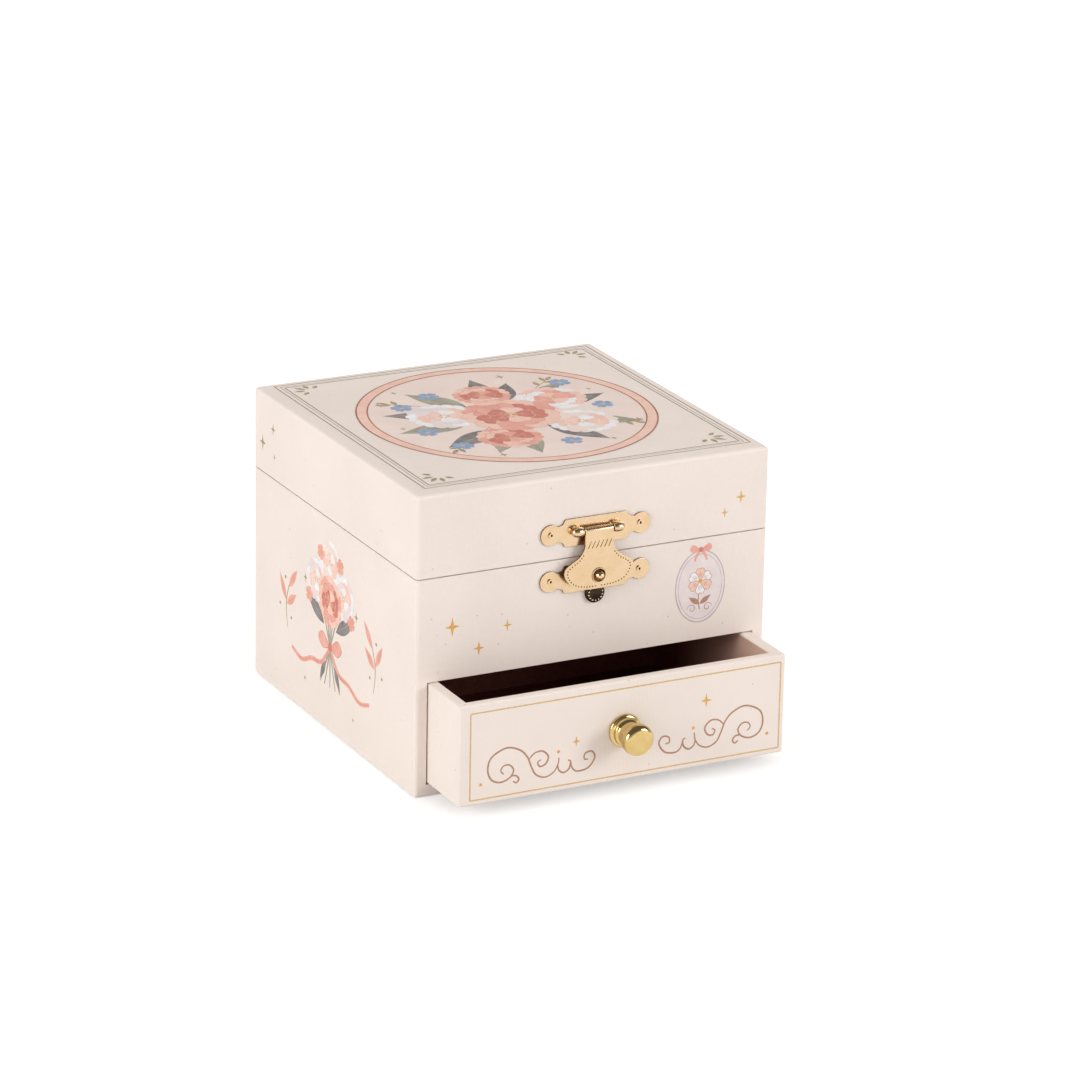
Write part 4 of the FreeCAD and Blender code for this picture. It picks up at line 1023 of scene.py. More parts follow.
    def blossom(self, u: float, v: float, radius: float, looks: Sequence[Look], turn: float = 0.0) -> None:
        """Add a full flower: rings of petals that close towards a dotted heart.

        Args:
            u: Its middle's place across.
            v: Its middle's place up.
            radius: Its radius.
            looks: The petals' three finishes, from the outside in.
            turn: Its first petal's way, in degrees.
        """
        for level, (count, reach, width) in enumerate(self.petal_rings):
            look, vein = looks[level], looks[(level + 1) % len(looks)]
            for step in range(count):
                angle = turn + level * self.ring_turn + 360 / count * step
                self.petal(look if step % 3 else vein, u, v, angle, radius * reach, radius * width, vein)
        for step in range(self.heart_dots):
            place = polar(u, v, radius * 0.11, turn + 360 / self.heart_dots * step)
            self.disc(Look.STAR_FOIL, *place, radius * 0.035)

    def floret(self, u: float, v: float, radius: float, look: Look, turn: float = 0.0) -> None:
        """Add a small five-petalled flower.

        Args:
            u: Its middle's place across.
            v: Its middle's place up.
            radius: Its radius.
            look: Its petals' finish.
            turn: Its first petal's way, in degrees.
        """
        for step in range(5):
            self.petal(look, u, v, turn + 72 * step, radius, radius * 0.8)
        self.disc(Look.STAR_FOIL, u, v, radius * 0.2)

    def sprig(self, look: Look, u: float, v: float, way: int) -> None:
        """Add a leafy sprig with a curved stem and a few gold dots.

        Args:
            look: Its leaves' finish.
            u: Its foot's place across.
            v: Its foot's place up.
            way: 1 if it leans to the right, -1 if to the left.
        """
        stem = smooth([(u + way * x, v + y) for x, y in self.sprig_stem], 6)
        self.stroke(Look.SPRIG_FOIL, stem, 0.42, 0.5)
        for x, y, turn, length in self.sprig_leaves:
            lean = turn if way > 0 else 180 - turn
            self.leaf(look, u + way * x, v + y, lean, length, 2.7, Look.CORAL_DEEP)
        for x, y, size in self.sprig_dots:
            self.disc(Look.SPRIG_FOIL, u + way * x, v + y, size)

    def build(self) -> None:
        """Make one piece per finish and ride them on the panel's body."""
        for look, points in self.points.items():
            item = mesh(f"{self.name}_{look.name.lower()}", points, self.faces[look])
            dress(item, look, self.panel.body)


@dataclass
class Casework:
    """The paper-covered box and lid, with their prints."""

    half: float = 56.0
    top: float = 90.0
    medallion: Point = (56.8, 58.2)
    medallion_radius: float = 42.2
    medallion_tall: float = 1.03
    boards: tuple[str, ...] = (
        "box_wrap", "base_board", "left_side", "right_side", "back_panel", "front_panel", "tray_floor",
        "movement_partition", "lid_wrap", "lid_top_board", "lid_front_rail", "lid_back_rail", "lid_left_rail",
        "lid_right_rail",
    )
    borders: Rows = (
        (5.2, 109.0, 6.0, 109.2, 0.4), (6.6, 107.6, 7.4, 107.8, 0.22), (7.6, 106.6, 8.4, 106.8, 0.4),
    )
    corner_sprigs: Rows = ((13.4, 14.6, 45), (99.8, 14.8, 135), (13.8, 101.6, -45), (100.4, 101.8, -135))
    corner_leaves: Rows = ((-40, 1.7, 3.7), (0, 1.7, 4.1), (40, 1.7, 3.7), (-88, 2.0, 3.0), (88, 2.0, 3.0))
    bouquet_leaves: Rows = (
        (-8, -12, 205, 24), (-6, -14, 236, 22), (6, -14, 300, 22), (12, -10, 332, 25), (14, 2, 12, 22),
        (12, 8, 40, 21), (2, 12, 84, 22), (-8, 10, 122, 22), (-14, 4, 158, 22), (-14, -4, 182, 23),
        (4, 10, 62, 19), (-4, -16, 262, 21),
    )
    bouquet_twigs: Rows = ((-20, -18, 228), (22, -16, 318), (18, 18, 44), (-20, 16, 136))
    bouquet_florets: Rows = (
        (-29, -7, 0), (30, -3, 20), (-14, 24, 40), (6, -30, 10), (28, 21, 30), (-25, -22, 55), (-26, 17, 18),
    )
    bouquet_stars: Rows = (
        (-31, 22, 2.2), (-22, 31, 1.6), (14, 33, 2.2), (33, 12, 1.5), (33, -20, 2.0), (-34, -1, 1.4),
        (-18, -34, 2.0), (18, -33, 1.6),
    )
    posy_place: Point = (54.5, 26.0)
    posy_stems: Rows = ((-9, 20), (-5, 25), (0, 27), (5, 25), (9, 20))
    posy_leaves: Rows = (
        (-4, 6, 150, 15), (4, 6, 30, 15), (-3, 10, 122, 16), (3, 10, 58, 16), (-3, -5, 240, 8),
        (3, -5, 300, 8),
    )
    posy_florets: Rows = ((-6.5, 27.5, 0), (6.8, 27.0, 30), (-14.5, 12.0, 10), (14.5, 12.2, 44))
    ribbon_loop: Rows = ((0, 0), (5, 3.4), (8, 1.2), (5, -1.4), (0, 0))
    ribbon_tail: Rows = ((0, 0), (6, -6.4), (13, -7.6), (20, -10.2), (27, -8.6))
    left_sprigs: Rows = ((24.6, 22.1, 1), (84.3, 22.1, -1))
    left_lid_stars: Rows = ((13.8, 80.6, 2.0), (6.3, 74.5, 2.7), (14.8, 72.3, 1.1))
    left_box_stars: Rows = ((37.1, 42.1, 1.7), (72.4, 41.2, 1.8), (36.9, 10.6, 1.2), (70.6, 9.0, 1.0))
    front_lid_stars: Rows = ((103.1, 76.1, 2.1), (97.9, 72.0, 1.6))
    front_box_stars: Rows = ((11.3, 50.0, 3.0), (28.6, 48.0, 1.9), (19.7, 42.4, 2.3))
    oval_place: Point = (90.5, 50.6)
    oval_radius: float = 8.0
    oval_tall: float = 1.36
    oval_inner: Point = (7.1, 0.18, 1.38)
    curl_place: Point = (2.6, -6.6)
    curl_radius: float = 1.5
    curl_closing: float = 0.17
    bow_level: float = 11.2
    bow_loop: Rows = ((0, 0), (2.6, 1.7), (3.6, 0.2), (2.2, -0.8), (0, 0))
    bow_tail: Rows = ((0, 0), (1.4, -1.8), (2.0, -3.4))
    heart_level: float = 1.6

    def lid_top(self) -> None:
        """Print the lid's top: a line border, corner sprigs and a flower medallion."""
        panel = Panel((-self.half, -self.half, self.top), (1, 0, 0), (0, 1, 0), (0, 0, 1), "lid")
        sheet = Print("lid_top_print", panel)
        for low_u, high_u, low_v, high_v, width in self.borders:
            for level in (low_v, high_v):
                sheet.stroke(Look.BORDER_FOIL, ((low_u, level), (high_u, level)), width)
            for side in (low_u, high_u):
                sheet.stroke(Look.BORDER_FOIL, ((side, low_v), (side, high_v)), width)
        for u, v, turn in self.corner_sprigs:
            for lean, reach, size in self.corner_leaves:
                way = turn + 180 + lean
                sheet.leaf(Look.SPRIG_FOIL, *polar(u, v, reach, way), way, size, 1.5)
        self.flowers(sheet)
        sheet.build()

    def flowers(self, sheet: Print) -> None:
        """Draw the medallion: a coral ring round a bouquet with sparkles.

        Args:
            sheet: The lid's print.
        """
        u, v = self.medallion
        radius, tall = self.medallion_radius, self.medallion_tall
        sheet.disc(Look.BLUSH, u, v, radius - 1.4, tall)
        greens = (Look.TAUPE, Look.SAGE)
        for index, (x, y, turn, length) in enumerate(self.bouquet_leaves):
            sheet.leaf(greens[index % 2], u + x, v + y, turn, length, length * 0.36, greens[1 - index % 2])
        for x, y, turn in self.bouquet_twigs:
            stem = smooth([(u + x * 0.5, v + y * 0.5), (u + x, v + y), (u + x * 1.4, v + y * 1.36)], 6)
            sheet.stroke(Look.SPRIG_FOIL, stem, 0.35, 0.4)
            for step, side in ((8, 1), (10, -1), (11, 1), (12, 0)):
                sheet.leaf(Look.SPRIG_FOIL, *stem[step], turn + side * 44, 4.2, 1.6)
        corals = (Look.CORAL, Look.CORAL_PALE, Look.CORAL_DEEP)
        for x, y, size, looks, turn in (
            (-18, 5, 11.5, (Look.WHITE, Look.MAUVE, Look.CORAL_PALE), 10),
            (18.5, 8, 11.0, (Look.CORAL_PALE, Look.WHITE, Look.CORAL), 40),
            (-9, -20, 10.0, corals, 25),
            (17, -15, 11.0, (Look.WHITE, Look.BLUSH, Look.CORAL_PALE), 0),
            (1, 19, 9.0, corals, 5),
            (0.5, -1.5, 15.0, (Look.CORAL_PALE, Look.CORAL, Look.CORAL_DEEP), 15),
        ):
            sheet.blossom(u + x, v + y, size, looks, turn)
        for x, y, turn in self.bouquet_florets:
            sheet.floret(u + x, v + y, 3.4, Look.BLUE, turn)
        sheet.stars(Look.SPRIG_FOIL, self.bouquet_stars, u, v)
        sheet.ring(Look.CORAL_PALE, u, v, radius, 3.2, tall)
        sheet.ring(Look.RING_LINE, u, v, radius + 1.6, 0.5, tall)
        sheet.ring(Look.RING_LINE, u, v, radius - 1.6, 0.42, tall)

    def left_side(self) -> None:
        """Print the left side: sparkles on the lid, and a tied posy between two sprigs on the box."""
        place = ((-self.half, self.half, 0), (0, -1, 0), (0, 0, 1), (-1, 0, 0))
        lid = Print("lid_left_print", Panel(*place, "lid"))
        lid.stars(Look.SPRIG_FOIL, self.left_lid_stars)
        lid.build()
        box = Print("box_left_print", Panel(*place, "box"))
        for u, v, way in self.left_sprigs:
            box.sprig(Look.CORAL, u, v, way)
        box.stars(Look.SPRIG_FOIL, self.left_box_stars)
        self.posy(box)
        box.build()

    def posy(self, sheet: Print) -> None:
        """Draw a posy of pale flowers on crossed stems, tied with a ribbon.

        Args:
            sheet: The left side's print.
        """
        u, v = self.posy_place
        for lean, tall in self.posy_stems:
            stem = smooth([(u - lean * 0.75, v - 12.5), (u, v), (u + lean, v + tall)], 6)
            sheet.stroke(Look.SAGE, stem, 0.7, 0.3)
        for lean, up, turn, length in self.posy_leaves:
            look = Look.SLATE if length > 15 else Look.TAUPE
            sheet.leaf(look, u + lean, v + up, turn, length, length * 0.3, Look.SAGE)
        ivory = (Look.WHITE, Look.MAUVE, Look.CORAL_PALE)
        sheet.blossom(u - 9.5, v + 18, 7.0, ivory, 20)
        sheet.blossom(u + 9.5, v + 18, 7.0, ivory, 50)
        sheet.blossom(u, v + 26, 7.2, (Look.WHITE, Look.BLUSH, Look.CORAL_PALE), 0)
        sheet.blossom(u, v + 14, 8.0, (Look.CORAL_PALE, Look.CORAL, Look.CORAL_DEEP), 12)
        for x, y, turn in self.posy_florets:
            sheet.floret(u + x, v + y, 2.5, Look.CORAL, turn)
        for way in (-1, 1):
            loop = smooth([(u + way * x, v + y) for x, y in self.ribbon_loop], 7)
            sheet.shape(Look.CORAL, loop[:-1])
            sheet.stroke(Look.CORAL_DEEP, loop, 0.22)
            tail = smooth([(u + way * x, v + y) for x, y in self.ribbon_tail], 8)
            sheet.stroke(Look.CORAL, tail, 1.5, 0.25)
            sheet.stroke(Look.CORAL_DEEP, tail, 0.18, 0.5)
        sheet.disc(Look.CORAL_DEEP, u, v, 1.3)

    def front(self) -> None:
        """Print the front: sparkles, and a small oval with a blossom."""
        place = ((-self.half, -self.half, 0), (1, 0, 0), (0, 0, 1), (0, -1, 0))
        lid = Print("lid_front_print", Panel(*place, "lid"))
        lid.stars(Look.STAR_FOIL, self.front_lid_stars)
        lid.build()
        box = Print("box_front_print", Panel(*place, "box"))
        box.stars(Look.STAR_FOIL, self.front_box_stars)
        self.oval(box)
        box.build()

    def oval(self, sheet: Print) -> None:
        """Draw a small oval in a double line, with one blossom, two leaves and a bow on top.

        Args:
            sheet: The front's print.
        """
        u, v = self.oval_place
        sheet.disc(Look.MAUVE, u, v, self.oval_radius, self.oval_tall)
        sheet.ring(Look.MAUVE_LINE, u, v, self.oval_radius, 0.35, self.oval_tall)
        sheet.ring(Look.MAUVE_LINE, u, v, *self.oval_inner)
        sheet.stroke(Look.SCROLL_FOIL, smooth([(u, v - 7), (u - 0.5, v - 4), (u, v)], 6), 0.35)
        knot, heart = v + self.bow_level, v + self.heart_level
        far, up = self.curl_place
        for way in (-1, 1):
            sheet.leaf(Look.SCROLL_FOIL, u, v - 5.4, 90 - way * 56, 4.4, 1.6)
            curl = []
            for t in (step * 0.4 for step in range(20)):
                reach = self.curl_radius - self.curl_closing * t
                curl.append((u + way * (far + reach * math.cos(t)), v + up + reach * math.sin(t)))
            sheet.stroke(Look.SCROLL_FOIL, curl, 0.24, 0.5)
            sheet.shape(Look.CORAL, smooth([(u + way * x, knot + y) for x, y in self.bow_loop], 6)[:-1])
            tail = smooth([(u + way * x, knot + y) for x, y in self.bow_tail], 5)
            sheet.stroke(Look.CORAL, tail, 0.8, 0.2)
        sheet.disc(Look.CORAL_DEEP, u, knot, 0.75)
        for step in range(6):
            look = Look.CORAL_PALE if step % 2 else Look.WHITE
            sheet.petal(look, u, heart, 30 + 60 * step, 4.0, 3.0, Look.SCROLL_FOIL)
        sheet.disc(Look.STAR_FOIL, u, heart, 0.7)

    def build(self) -> None:
        """Dress the boards, the wraps and the mirror, and print the paper."""
        refinish(Look.CREAM_PAPER, *self.boards)
        refinish(Look.MIRROR, "mirror")
        self.lid_top()
        self.left_side()
        self.front()


@dataclass
class Linings:
    """Flocked linings of the tray, the lid and the drawer."""

    inset: float = 0.25
    tuck: float = 0.1
    corner: float = 0.8
    ripple: float = 0.05
    cells: int = 56
    case_inner: float = 52.4
    tray_walls: Point = (37.5, 64.9)
    lid_walls: Point = (65.9, 86.3)
    drawer_inner: float = 48.55
    drawer_ends: Point = (-73.25, -5.25)
    drawer_walls: Point = (6.5, 33.5)
    spindle: Point = (0.0, 31.0)
    spindle_hole: float = 2.4

    def laid(
        self, name: str, node: str, body: str, under: str, way: int, hole: float = 0.0,
        look: Look = Look.ROSE_FLOCK,
    ) -> None:
        """Lay one sheet of flocked card in the place of a lining, its edges tucked to the walls.

        Args:
            name: The piece's name.
            node: The lining that it stands for.
            body: The body it rides on.
            under: The piece it lies on; not used.
            way: 1 if the pile faces up, -1 if it faces down.
            hole: The radius of a hole for the spindle.
            look: The sheet's finish.
        """
        low, high = (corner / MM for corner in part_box(node))
        size = (high - low + Vector((2 * self.tuck, 2 * self.tuck, 0))) * MM
        middle = (low + high) / 2 * MM
        middle.z = (high.z if way > 0 else low.z) * MM
        clear()
        bpy.ops.mesh.primitive_grid_add(
            x_subdivisions=self.cells, y_subdivisions=self.cells, size=1, location=tuple(middle))
        item = bpy.context.active_object
        item.name, item.scale = name, (size.x, size.y, 1)
        settle(item)
        for vertex in item.data.vertices:
            x, y = vertex.co.x / MM, vertex.co.y / MM
            vertex.co.z += way * self.ripple * (math.sin(x * 0.21 + 1.3) * math.cos(y * 0.17) - 1) * MM
        axis = Vector(self.spindle) * MM
        pick(item, lambda face: (face.center.xy - axis).length < hole * MM)
        bpy.ops.mesh.delete(type="FACE")
        if way < 0:
            bpy.ops.mesh.select_all(action="SELECT")
            bpy.ops.mesh.flip_normals()
        mode("OBJECT")
        shade(60)
        dress(item, look, body)
        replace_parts(item, node)

    def walls(
        self, name: str, x: float, y: Point, z: Point, body: str, boards: Sequence[str], look: Look,
    ) -> None:
        """Line four inner walls with one folded strip of flocked card.

        Args:
            name: The piece's name.
            x: Half the width between the walls.
            y: The front and the back wall.
            z: The lower and the upper edge.
            body: The body it rides on.
            boards: The boards behind it; not used.
            look: The strip's finish.
        """
        x, y = x - self.inset, (y[0] + self.inset, y[1] - self.inset)
        item = block(name, (-x, y[0], z[0]), (x, y[1], z[1]))
        pick(item, lambda face: abs(face.normal.z) > 0.9)
        bpy.ops.mesh.delete(type="ONLY_FACE")
        bpy.ops.mesh.select_mode(type="EDGE")
        bpy.ops.mesh.select_all(action="DESELECT")
        mode("OBJECT")
        for edge in item.data.edges:
            low, high = (item.data.vertices[index].co.z for index in edge.vertices)
            edge.select = abs(high - low) > 5 * MM
        mode("EDIT")
        bpy.ops.mesh.bevel(offset=self.corner * MM, segments=4, affect="EDGES")
        bpy.ops.mesh.select_all(action="SELECT")
        bpy.ops.mesh.flip_normals()
        mode("OBJECT")
        shade(40)
        dress(item, look, body)
        list(boards)

    def build(self) -> None:
        """Lay the three floors and line the walls."""
        case = (self.case_inner, (-self.case_inner, self.case_inner))
        sides = ("left_side", "right_side", "front_panel", "back_panel")
        rails = ("lid_front_rail", "lid_back_rail", "lid_left_rail", "lid_right_rail")
        self.laid("tray_floor_lining", "tray_lining", "box", "tray_floor", 1, self.spindle_hole)
        self.laid("lid_inner_lining", "lid_lining", "lid", "lid_top_board", -1)
        self.laid("drawer_floor_lining", "drawer_lining", "drawer", "drawer_shell", 1, look=Look.DRAWER_FLOCK)
        self.walls("tray_wall_lining", *case, self.tray_walls, "box", sides, Look.ROSE_FLOCK)
        self.walls("lid_wall_lining", *case, self.lid_walls, "lid", rails, Look.ROSE_FLOCK)
        drawer = (self.drawer_inner, self.drawer_ends, self.drawer_walls)
        self.walls("drawer_wall_lining", *drawer, "drawer", ("drawer_shell",), Look.WALL_FLOCK)


@dataclass
class Drawer:
    """The drawer: a paper-covered shell, its print and its brass knob."""

    wide: float = 51.95
    inner: float = 48.55
    front: float = -76.25
    inner_front: float = -73.25
    back: float = -2.25
    low: float = 3.9
    floor: float = 6.4
    high: float = 34.07
    edge: float = 0.45
    knob_level: float = 18.985
    knob_profile: Rows = (
        (0, 0.02), (4.9, 0.02), (5.0, 0.15), (5.0, 0.7), (4.86, 1.02), (4.5, 1.2), (4.22, 1.3), (4.1, 1.5),
        (4.1, 2.2), (3.98, 2.5), (3.62, 2.72), (3.36, 3.1), (3.24, 3.9), (3.22, 4.9), (3.32, 5.6), (3.6, 6.1),
        (4.05, 6.4), (4.45, 6.7), (4.66, 7.15), (4.7, 7.7), (4.7, 8.35), (4.63, 8.9), (4.42, 9.4),
        (4.08, 9.82), (3.65, 10.1), (3.2, 10.22), (2.6, 10.27), (0, 10.3),
    )
    border_line: float = 0.4
    stars: Rows = ((36.7, 14.1, 1.7), (78.3, 19.9, 2.3))
    dots: Rows = ((31.1, 11.9), (74.3, 12.1), (6.7, 5.9), (98.6, 6.6))
    dot_radius: float = 0.5
    scroll_line: Point = (0.55, 0.3)
    scroll_mirror: Point = (106.0, 0.6)
    scroll_lines: tuple[Rows, ...] = (
        ((13.9, 7.9), (13.0, 9.1), (13.9, 10.4), (15.7, 10.4), (17.0, 8.7), (15.9, 6.6), (12.9, 5.6),
         (10.0, 6.9), (8.9, 10.1), (10.1, 13.6), (14.7, 15.7), (18.9, 14.4), (21.3, 11.9), (22.6, 8.7),
         (24.1, 6.1), (26.9, 4.9), (29.6, 5.9), (31.0, 8.0), (31.3, 10.1)),
        ((16.0, 6.9), (17.7, 6.9), (18.7, 5.7), (17.9, 4.7), (16.9, 5.3)),
        ((21.7, 11.0), (23.6, 12.7), (26.1, 12.9), (27.9, 11.0), (27.1, 8.9), (25.3, 8.4), (24.6, 9.7),
         (25.6, 10.4)),
        ((31.0, 7.6), (31.4, 6.2), (32.9, 5.3), (34.6, 6.3), (35.0, 8.3), (34.2, 8.9)),
        ((35.0, 8.3), (35.7, 6.1), (37.4, 5.0), (40.7, 5.6), (42.7, 8.3), (41.7, 10.4), (39.6, 10.0),
         (39.4, 8.4), (40.6, 8.1)),
    )

    def shell(self) -> None:
        """Hollow a block into an open box, as one paper-covered piece with softened edges."""
        item = block("drawer_shell", (-self.wide, self.front, self.low), (self.wide, self.back, self.high))
        pick(item, lambda face: face.normal.z > 0.9)
        wall = self.inner_front - self.front
        bpy.ops.mesh.inset(thickness=wall * MM)
        bpy.ops.transform.resize(value=(self.inner / (self.wide - wall), 1, 1))
        sink = (0, 0, (self.floor - self.high) * MM)
        bpy.ops.mesh.extrude_region_move(TRANSFORM_OT_translate={"value": sink})
        mode("OBJECT")
        soften(tidy(item), self.edge)
        dress(item, Look.CREAM_PAPER, "drawer")
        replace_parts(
            item, "drawer_front", "drawer_left_side", "drawer_right_side", "drawer_back", "drawer_bottom")

    def scrolls(self) -> None:
        """Print the drawer's front: a line border, scrolls on both sides of the knob, and sparkles."""
        panel = Panel((-self.wide, self.front, self.low), (1, 0, 0), (0, 0, 1), (0, -1, 0), "drawer")
        sheet = Print("drawer_front_print", panel)
        width, tall = 2 * self.wide, self.high - self.low
        corners = ((3.4, 1.5), (width - 1.4, 1.6), (width - 1.4, tall - 2.3), (3.4, tall - 2.6))
        for line in zip(corners, [*corners[1:], corners[0]]):
            sheet.stroke(Look.DRAWER_FOIL, line, self.border_line)
        far, up = self.scroll_mirror
        for points in self.scroll_lines:
            line = smooth(points, 6)
            sheet.stroke(Look.SCROLL_FOIL, line, *self.scroll_line)
            sheet.stroke(Look.SCROLL_FOIL, [(far - u, v + up) for u, v in line], *self.scroll_line)
        sheet.stars(Look.STAR_FOIL, self.stars)
        for u, v in self.dots:
            sheet.disc(Look.STAR_FOIL, u, v, self.dot_radius)
        sheet.build()

    def knob(self) -> None:
        """Turn the knob: a stepped foot, a waisted neck and a flat-faced head with a round edge."""
        foot = (0, self.front, self.knob_level)
        item = lathe("turned_knob", self.knob_profile, foot, (0, -1, 0), 96)
        dress(item, Look.KNOB_BRASS, "drawer")
        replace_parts(item, "drawer_knob")

    def build(self) -> None:
        """Build and dress the drawer."""
        self.shell()
        self.scrolls()
        self.knob()
        refinish(Look.STEEL, "knob_screw")


@dataclass
class Hardware:
    """Brass hinges, the stamped hasp and the winding key."""

    front: float = -56.0
    top_level: float = 73.0
    bottom_level: float = 59.1
    plate: float = 0.5
    plate_edge: float = 0.2
    nail_place: float = 14.2
    nail_hole: float = 0.45
    lobe_place: float = 14.4
    lobe_radius: float = 3.1
    shoulder: Rows = ((9.3, 4.1), (9.9, 3.9), (10.4, 2.9), (11.2, 2.5), (12.3, 2.3))
    knuckle: Rows = (
        (0, 0), (0.95, 0), (1.2, 0.15), (1.38, 0.7), (1.48, 1.5), (1.42, 2.3), (1.2, 3.0), (0.8, 3.45),
        (0, 3.65),
    )
    knuckle_place: float = 4.7
    strap_place: float = 6.3
    pin_level: float = 73.3
    pin_place: float = -57.75
    pin_half: float = 8.0
    pin_radius: float = 0.5
    stud_level: float = 60.0
    flap_face: float = -58.85
    flap_sheet: Point = (0.62, 1.1)
    flap_half: float = 4.45
    flap_ring: float = 1.9
    flap_neck: Rows = ((4.45, -3.6), (4.9, -5.4), (6.4, -7.4), (8.6, -8.7), (10.4, -9.9))
    flap_foot: Rows = (
        (10.9, -10.6), (11.06, -11.8), (10.6, -13.2), (9.4, -14.9), (7.9, -16.2), (6.2, -16.9), (3.2, -17.25),
        (0.6, -17.3),
    )
    flap_dots: Rows = (
        (5.0, -6.9), (6.4, -8.5), (8.4, -9.7), (9.9, -11.0), (9.8, -12.8), (8.6, -14.6), (7.0, -15.7),
        (4.6, -16.3), (2.2, -16.45), (0.45, -16.5),
    )
    dot_pitch: float = 0.86
    roll: Rows = (
        (0, 0), (0.95, 0), (1.08, 0.12), (1.1, 0.3), (1.1, 8.6), (1.08, 8.78), (0.95, 8.9), (0, 8.9),
    )
    eye: Rows = ((1.9, 1.0), (1.9, 1.3), (2.0, 1.38), (2.2, 1.34), (2.3, 1.1))
    rosette_level: float = 54.0
    rosette_face: float = -57.2
    rosette_disc: Rows = ((3.0, -1.18), (3.02, -0.5), (2.9, -0.2), (2.6, -0.02), (0, 0.02))
    rosette_boss: Rows = ((1.0, -0.02), (0.9, 0.12), (0.5, 0.2), (0, 0.24))
    rosette_ring: float = 2.2
    rosette_beads: int = 14
    polished: tuple[str, ...] = (
        "left_hinge_box_leaf", "right_hinge_box_leaf", "left_hinge_lid_leaf", "right_hinge_lid_leaf",
        "left_hinge_pin", "right_hinge_pin", "hinge_nails_box", "hinge_nails_lid", "hasp_stud", "winding_key",
    )

    def face(self, y: float, level: float, body: str) -> Panel:
        """An upright face that looks to the front."""
        return Panel((0, y, level), (1, 0, 0), (0, 0, 1), (0, -1, 0), body)

    def plate_outline(self) -> list[Point]:
        """Draw the outline of a hasp plate: a middle with two waists and two round lobes.

        Returns:
            The outline's points.
        """
        lobe = [polar(self.lobe_place, 0, self.lobe_radius, turn) for turn in range(132, -1, -12)]
        quarter = smooth(self.shoulder, 4)[:-1] + lobe
        right = quarter + [(x, -z) for x, z in reversed(quarter[:-1])]
        return right + [(-x, -z) for x, z in right]

    def plates(self) -> None:
        """Stamp the two plates, and roll the top one's knuckles."""
        holes = [circle(way * self.nail_place, 0, self.nail_hole, 16) for way in (-1, 1)]
        outlines = [self.plate_outline(), *holes]
        for name, level, body, node in (
            ("hasp_upper_plate", self.top_level, "lid", "hasp_top_plate"),
            ("hasp_lower_plate", self.bottom_level, "box", "hasp_bottom_plate"),
        ):
            panel = self.face(self.front, level, body)
            parts = [stamping(name, panel, outlines, 0.01, self.plate, self.plate_edge)]
            if body == "lid":
                parts += self.knuckles()
            piece = dress(join(name, parts), Look.STAMPED_BRASS, body)
            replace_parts(piece, node)
            limit = (self.front - 0.49) * MM
            # Painted shade: the plates' side and bevel faces take dark brass, standing in for the dark
            # reflections along their edges.
            tint_edges(piece, Look.CUT_BRASS, lambda face: abs(face.normal.y) < 0.8 and face.center.y > limit)

    def knuckles(self) -> list[Item]:
        """Roll the two knuckles and the straps that hold them.

        Returns:
            The parts of the top plate.
        """
        parts = []
        for way in (-1, 1):
            centre = (way * self.knuckle_place, self.pin_place, self.pin_level)
            parts.append(lathe("knuckle", self.knuckle, centre, (way, 0, 0), 32))
            strap = Panel((way * self.strap_place, 0, self.pin_level), (0, 1, 0), (0, 0, 1), (1, 0, 0), "lid")
            foot = self.front - 0.3
            side = [(foot, -1.3), (foot, 1.2), (self.pin_place, 1.25), (self.pin_place, -1.25)]
            parts.append(stamping("strap", strap, [side], -1.1, 1.1, self.plate_edge))
        return parts

    def flap(self) -> None:
        """Stamp the flap: a roll on the pin, a neck, and a flared shield with a ring for the stud."""
        half = [(self.flap_half, 0.0), *smooth(self.flap_neck, 5), *smooth(self.flap_foot, 4)]
        outline = half + [(-x, z) for x, z in reversed(half)]
        ring = circle(0, self.stud_level - self.pin_level, self.flap_ring, 40)
        panel = self.face(self.pin_place, self.pin_level, "hasp")
        parts = [
            stamping("shield", panel, [outline, ring], *self.flap_sheet, self.plate_edge),
            lathe("curl", self.roll, (-self.flap_half, self.pin_place, self.pin_level), (1, 0, 0), 40),
            lathe("eye", self.eye, (0, self.pin_place, self.stud_level), (0, -1, 0), 40),
        ]
        piece = dress(join("hasp_shield", parts), Look.STAMPED_BRASS, "hasp")
        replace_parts(piece, "hasp_flap")
        limit = (self.pin_level - 3) * MM
        # Painted shade: the shield's side and bevel faces below the roll take dark brass as painted dark
        # reflection.
        tint_edges(piece, Look.CUT_BRASS, lambda face: abs(face.normal.y) < 0.8 and face.center.z < limit)
        rod = [(0, 0), (self.pin_radius, 0), (self.pin_radius, 2 * self.pin_half), (0, 2 * self.pin_half)]
        pin = lathe("hasp_rod", rod, (-self.pin_half, self.pin_place, self.pin_level), (1, 0, 0), 24)
        dress(pin, Look.POLISHED_BRASS, "lid")
        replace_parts(pin, "hasp_pin")

    def marks(self) -> None:
        """Punch the flap's marks: short slanted strokes at the neck and a dotted line inside its edge."""
        y, strokes = self.flap_face + 0.02, []
        for step in range(6):
            x = -3.6 + step * 1.3
            path = [(x, y, self.pin_level - 5.0), (x + 1.0, y, self.pin_level - 2.9)]
            strokes.append(limb(f"stroke_{step}", path, (0.13, 0.1), 8, 2))
        dress(join("flap_strokes", strokes), Look.DARK_BRASS, "hasp")
        dots, last = [], None
        for place in smooth(self.flap_dots, 14):
            if last is None or math.dist(place, last) > self.dot_pitch:
                last = place
                dots += [(side * place[0], self.flap_face, self.pin_level + place[1]) for side in (1, -1)]
        dress(beads("flap_dots", dots, (0.22, 0.1, 0.22)), Look.DARK_BRASS, "hasp")

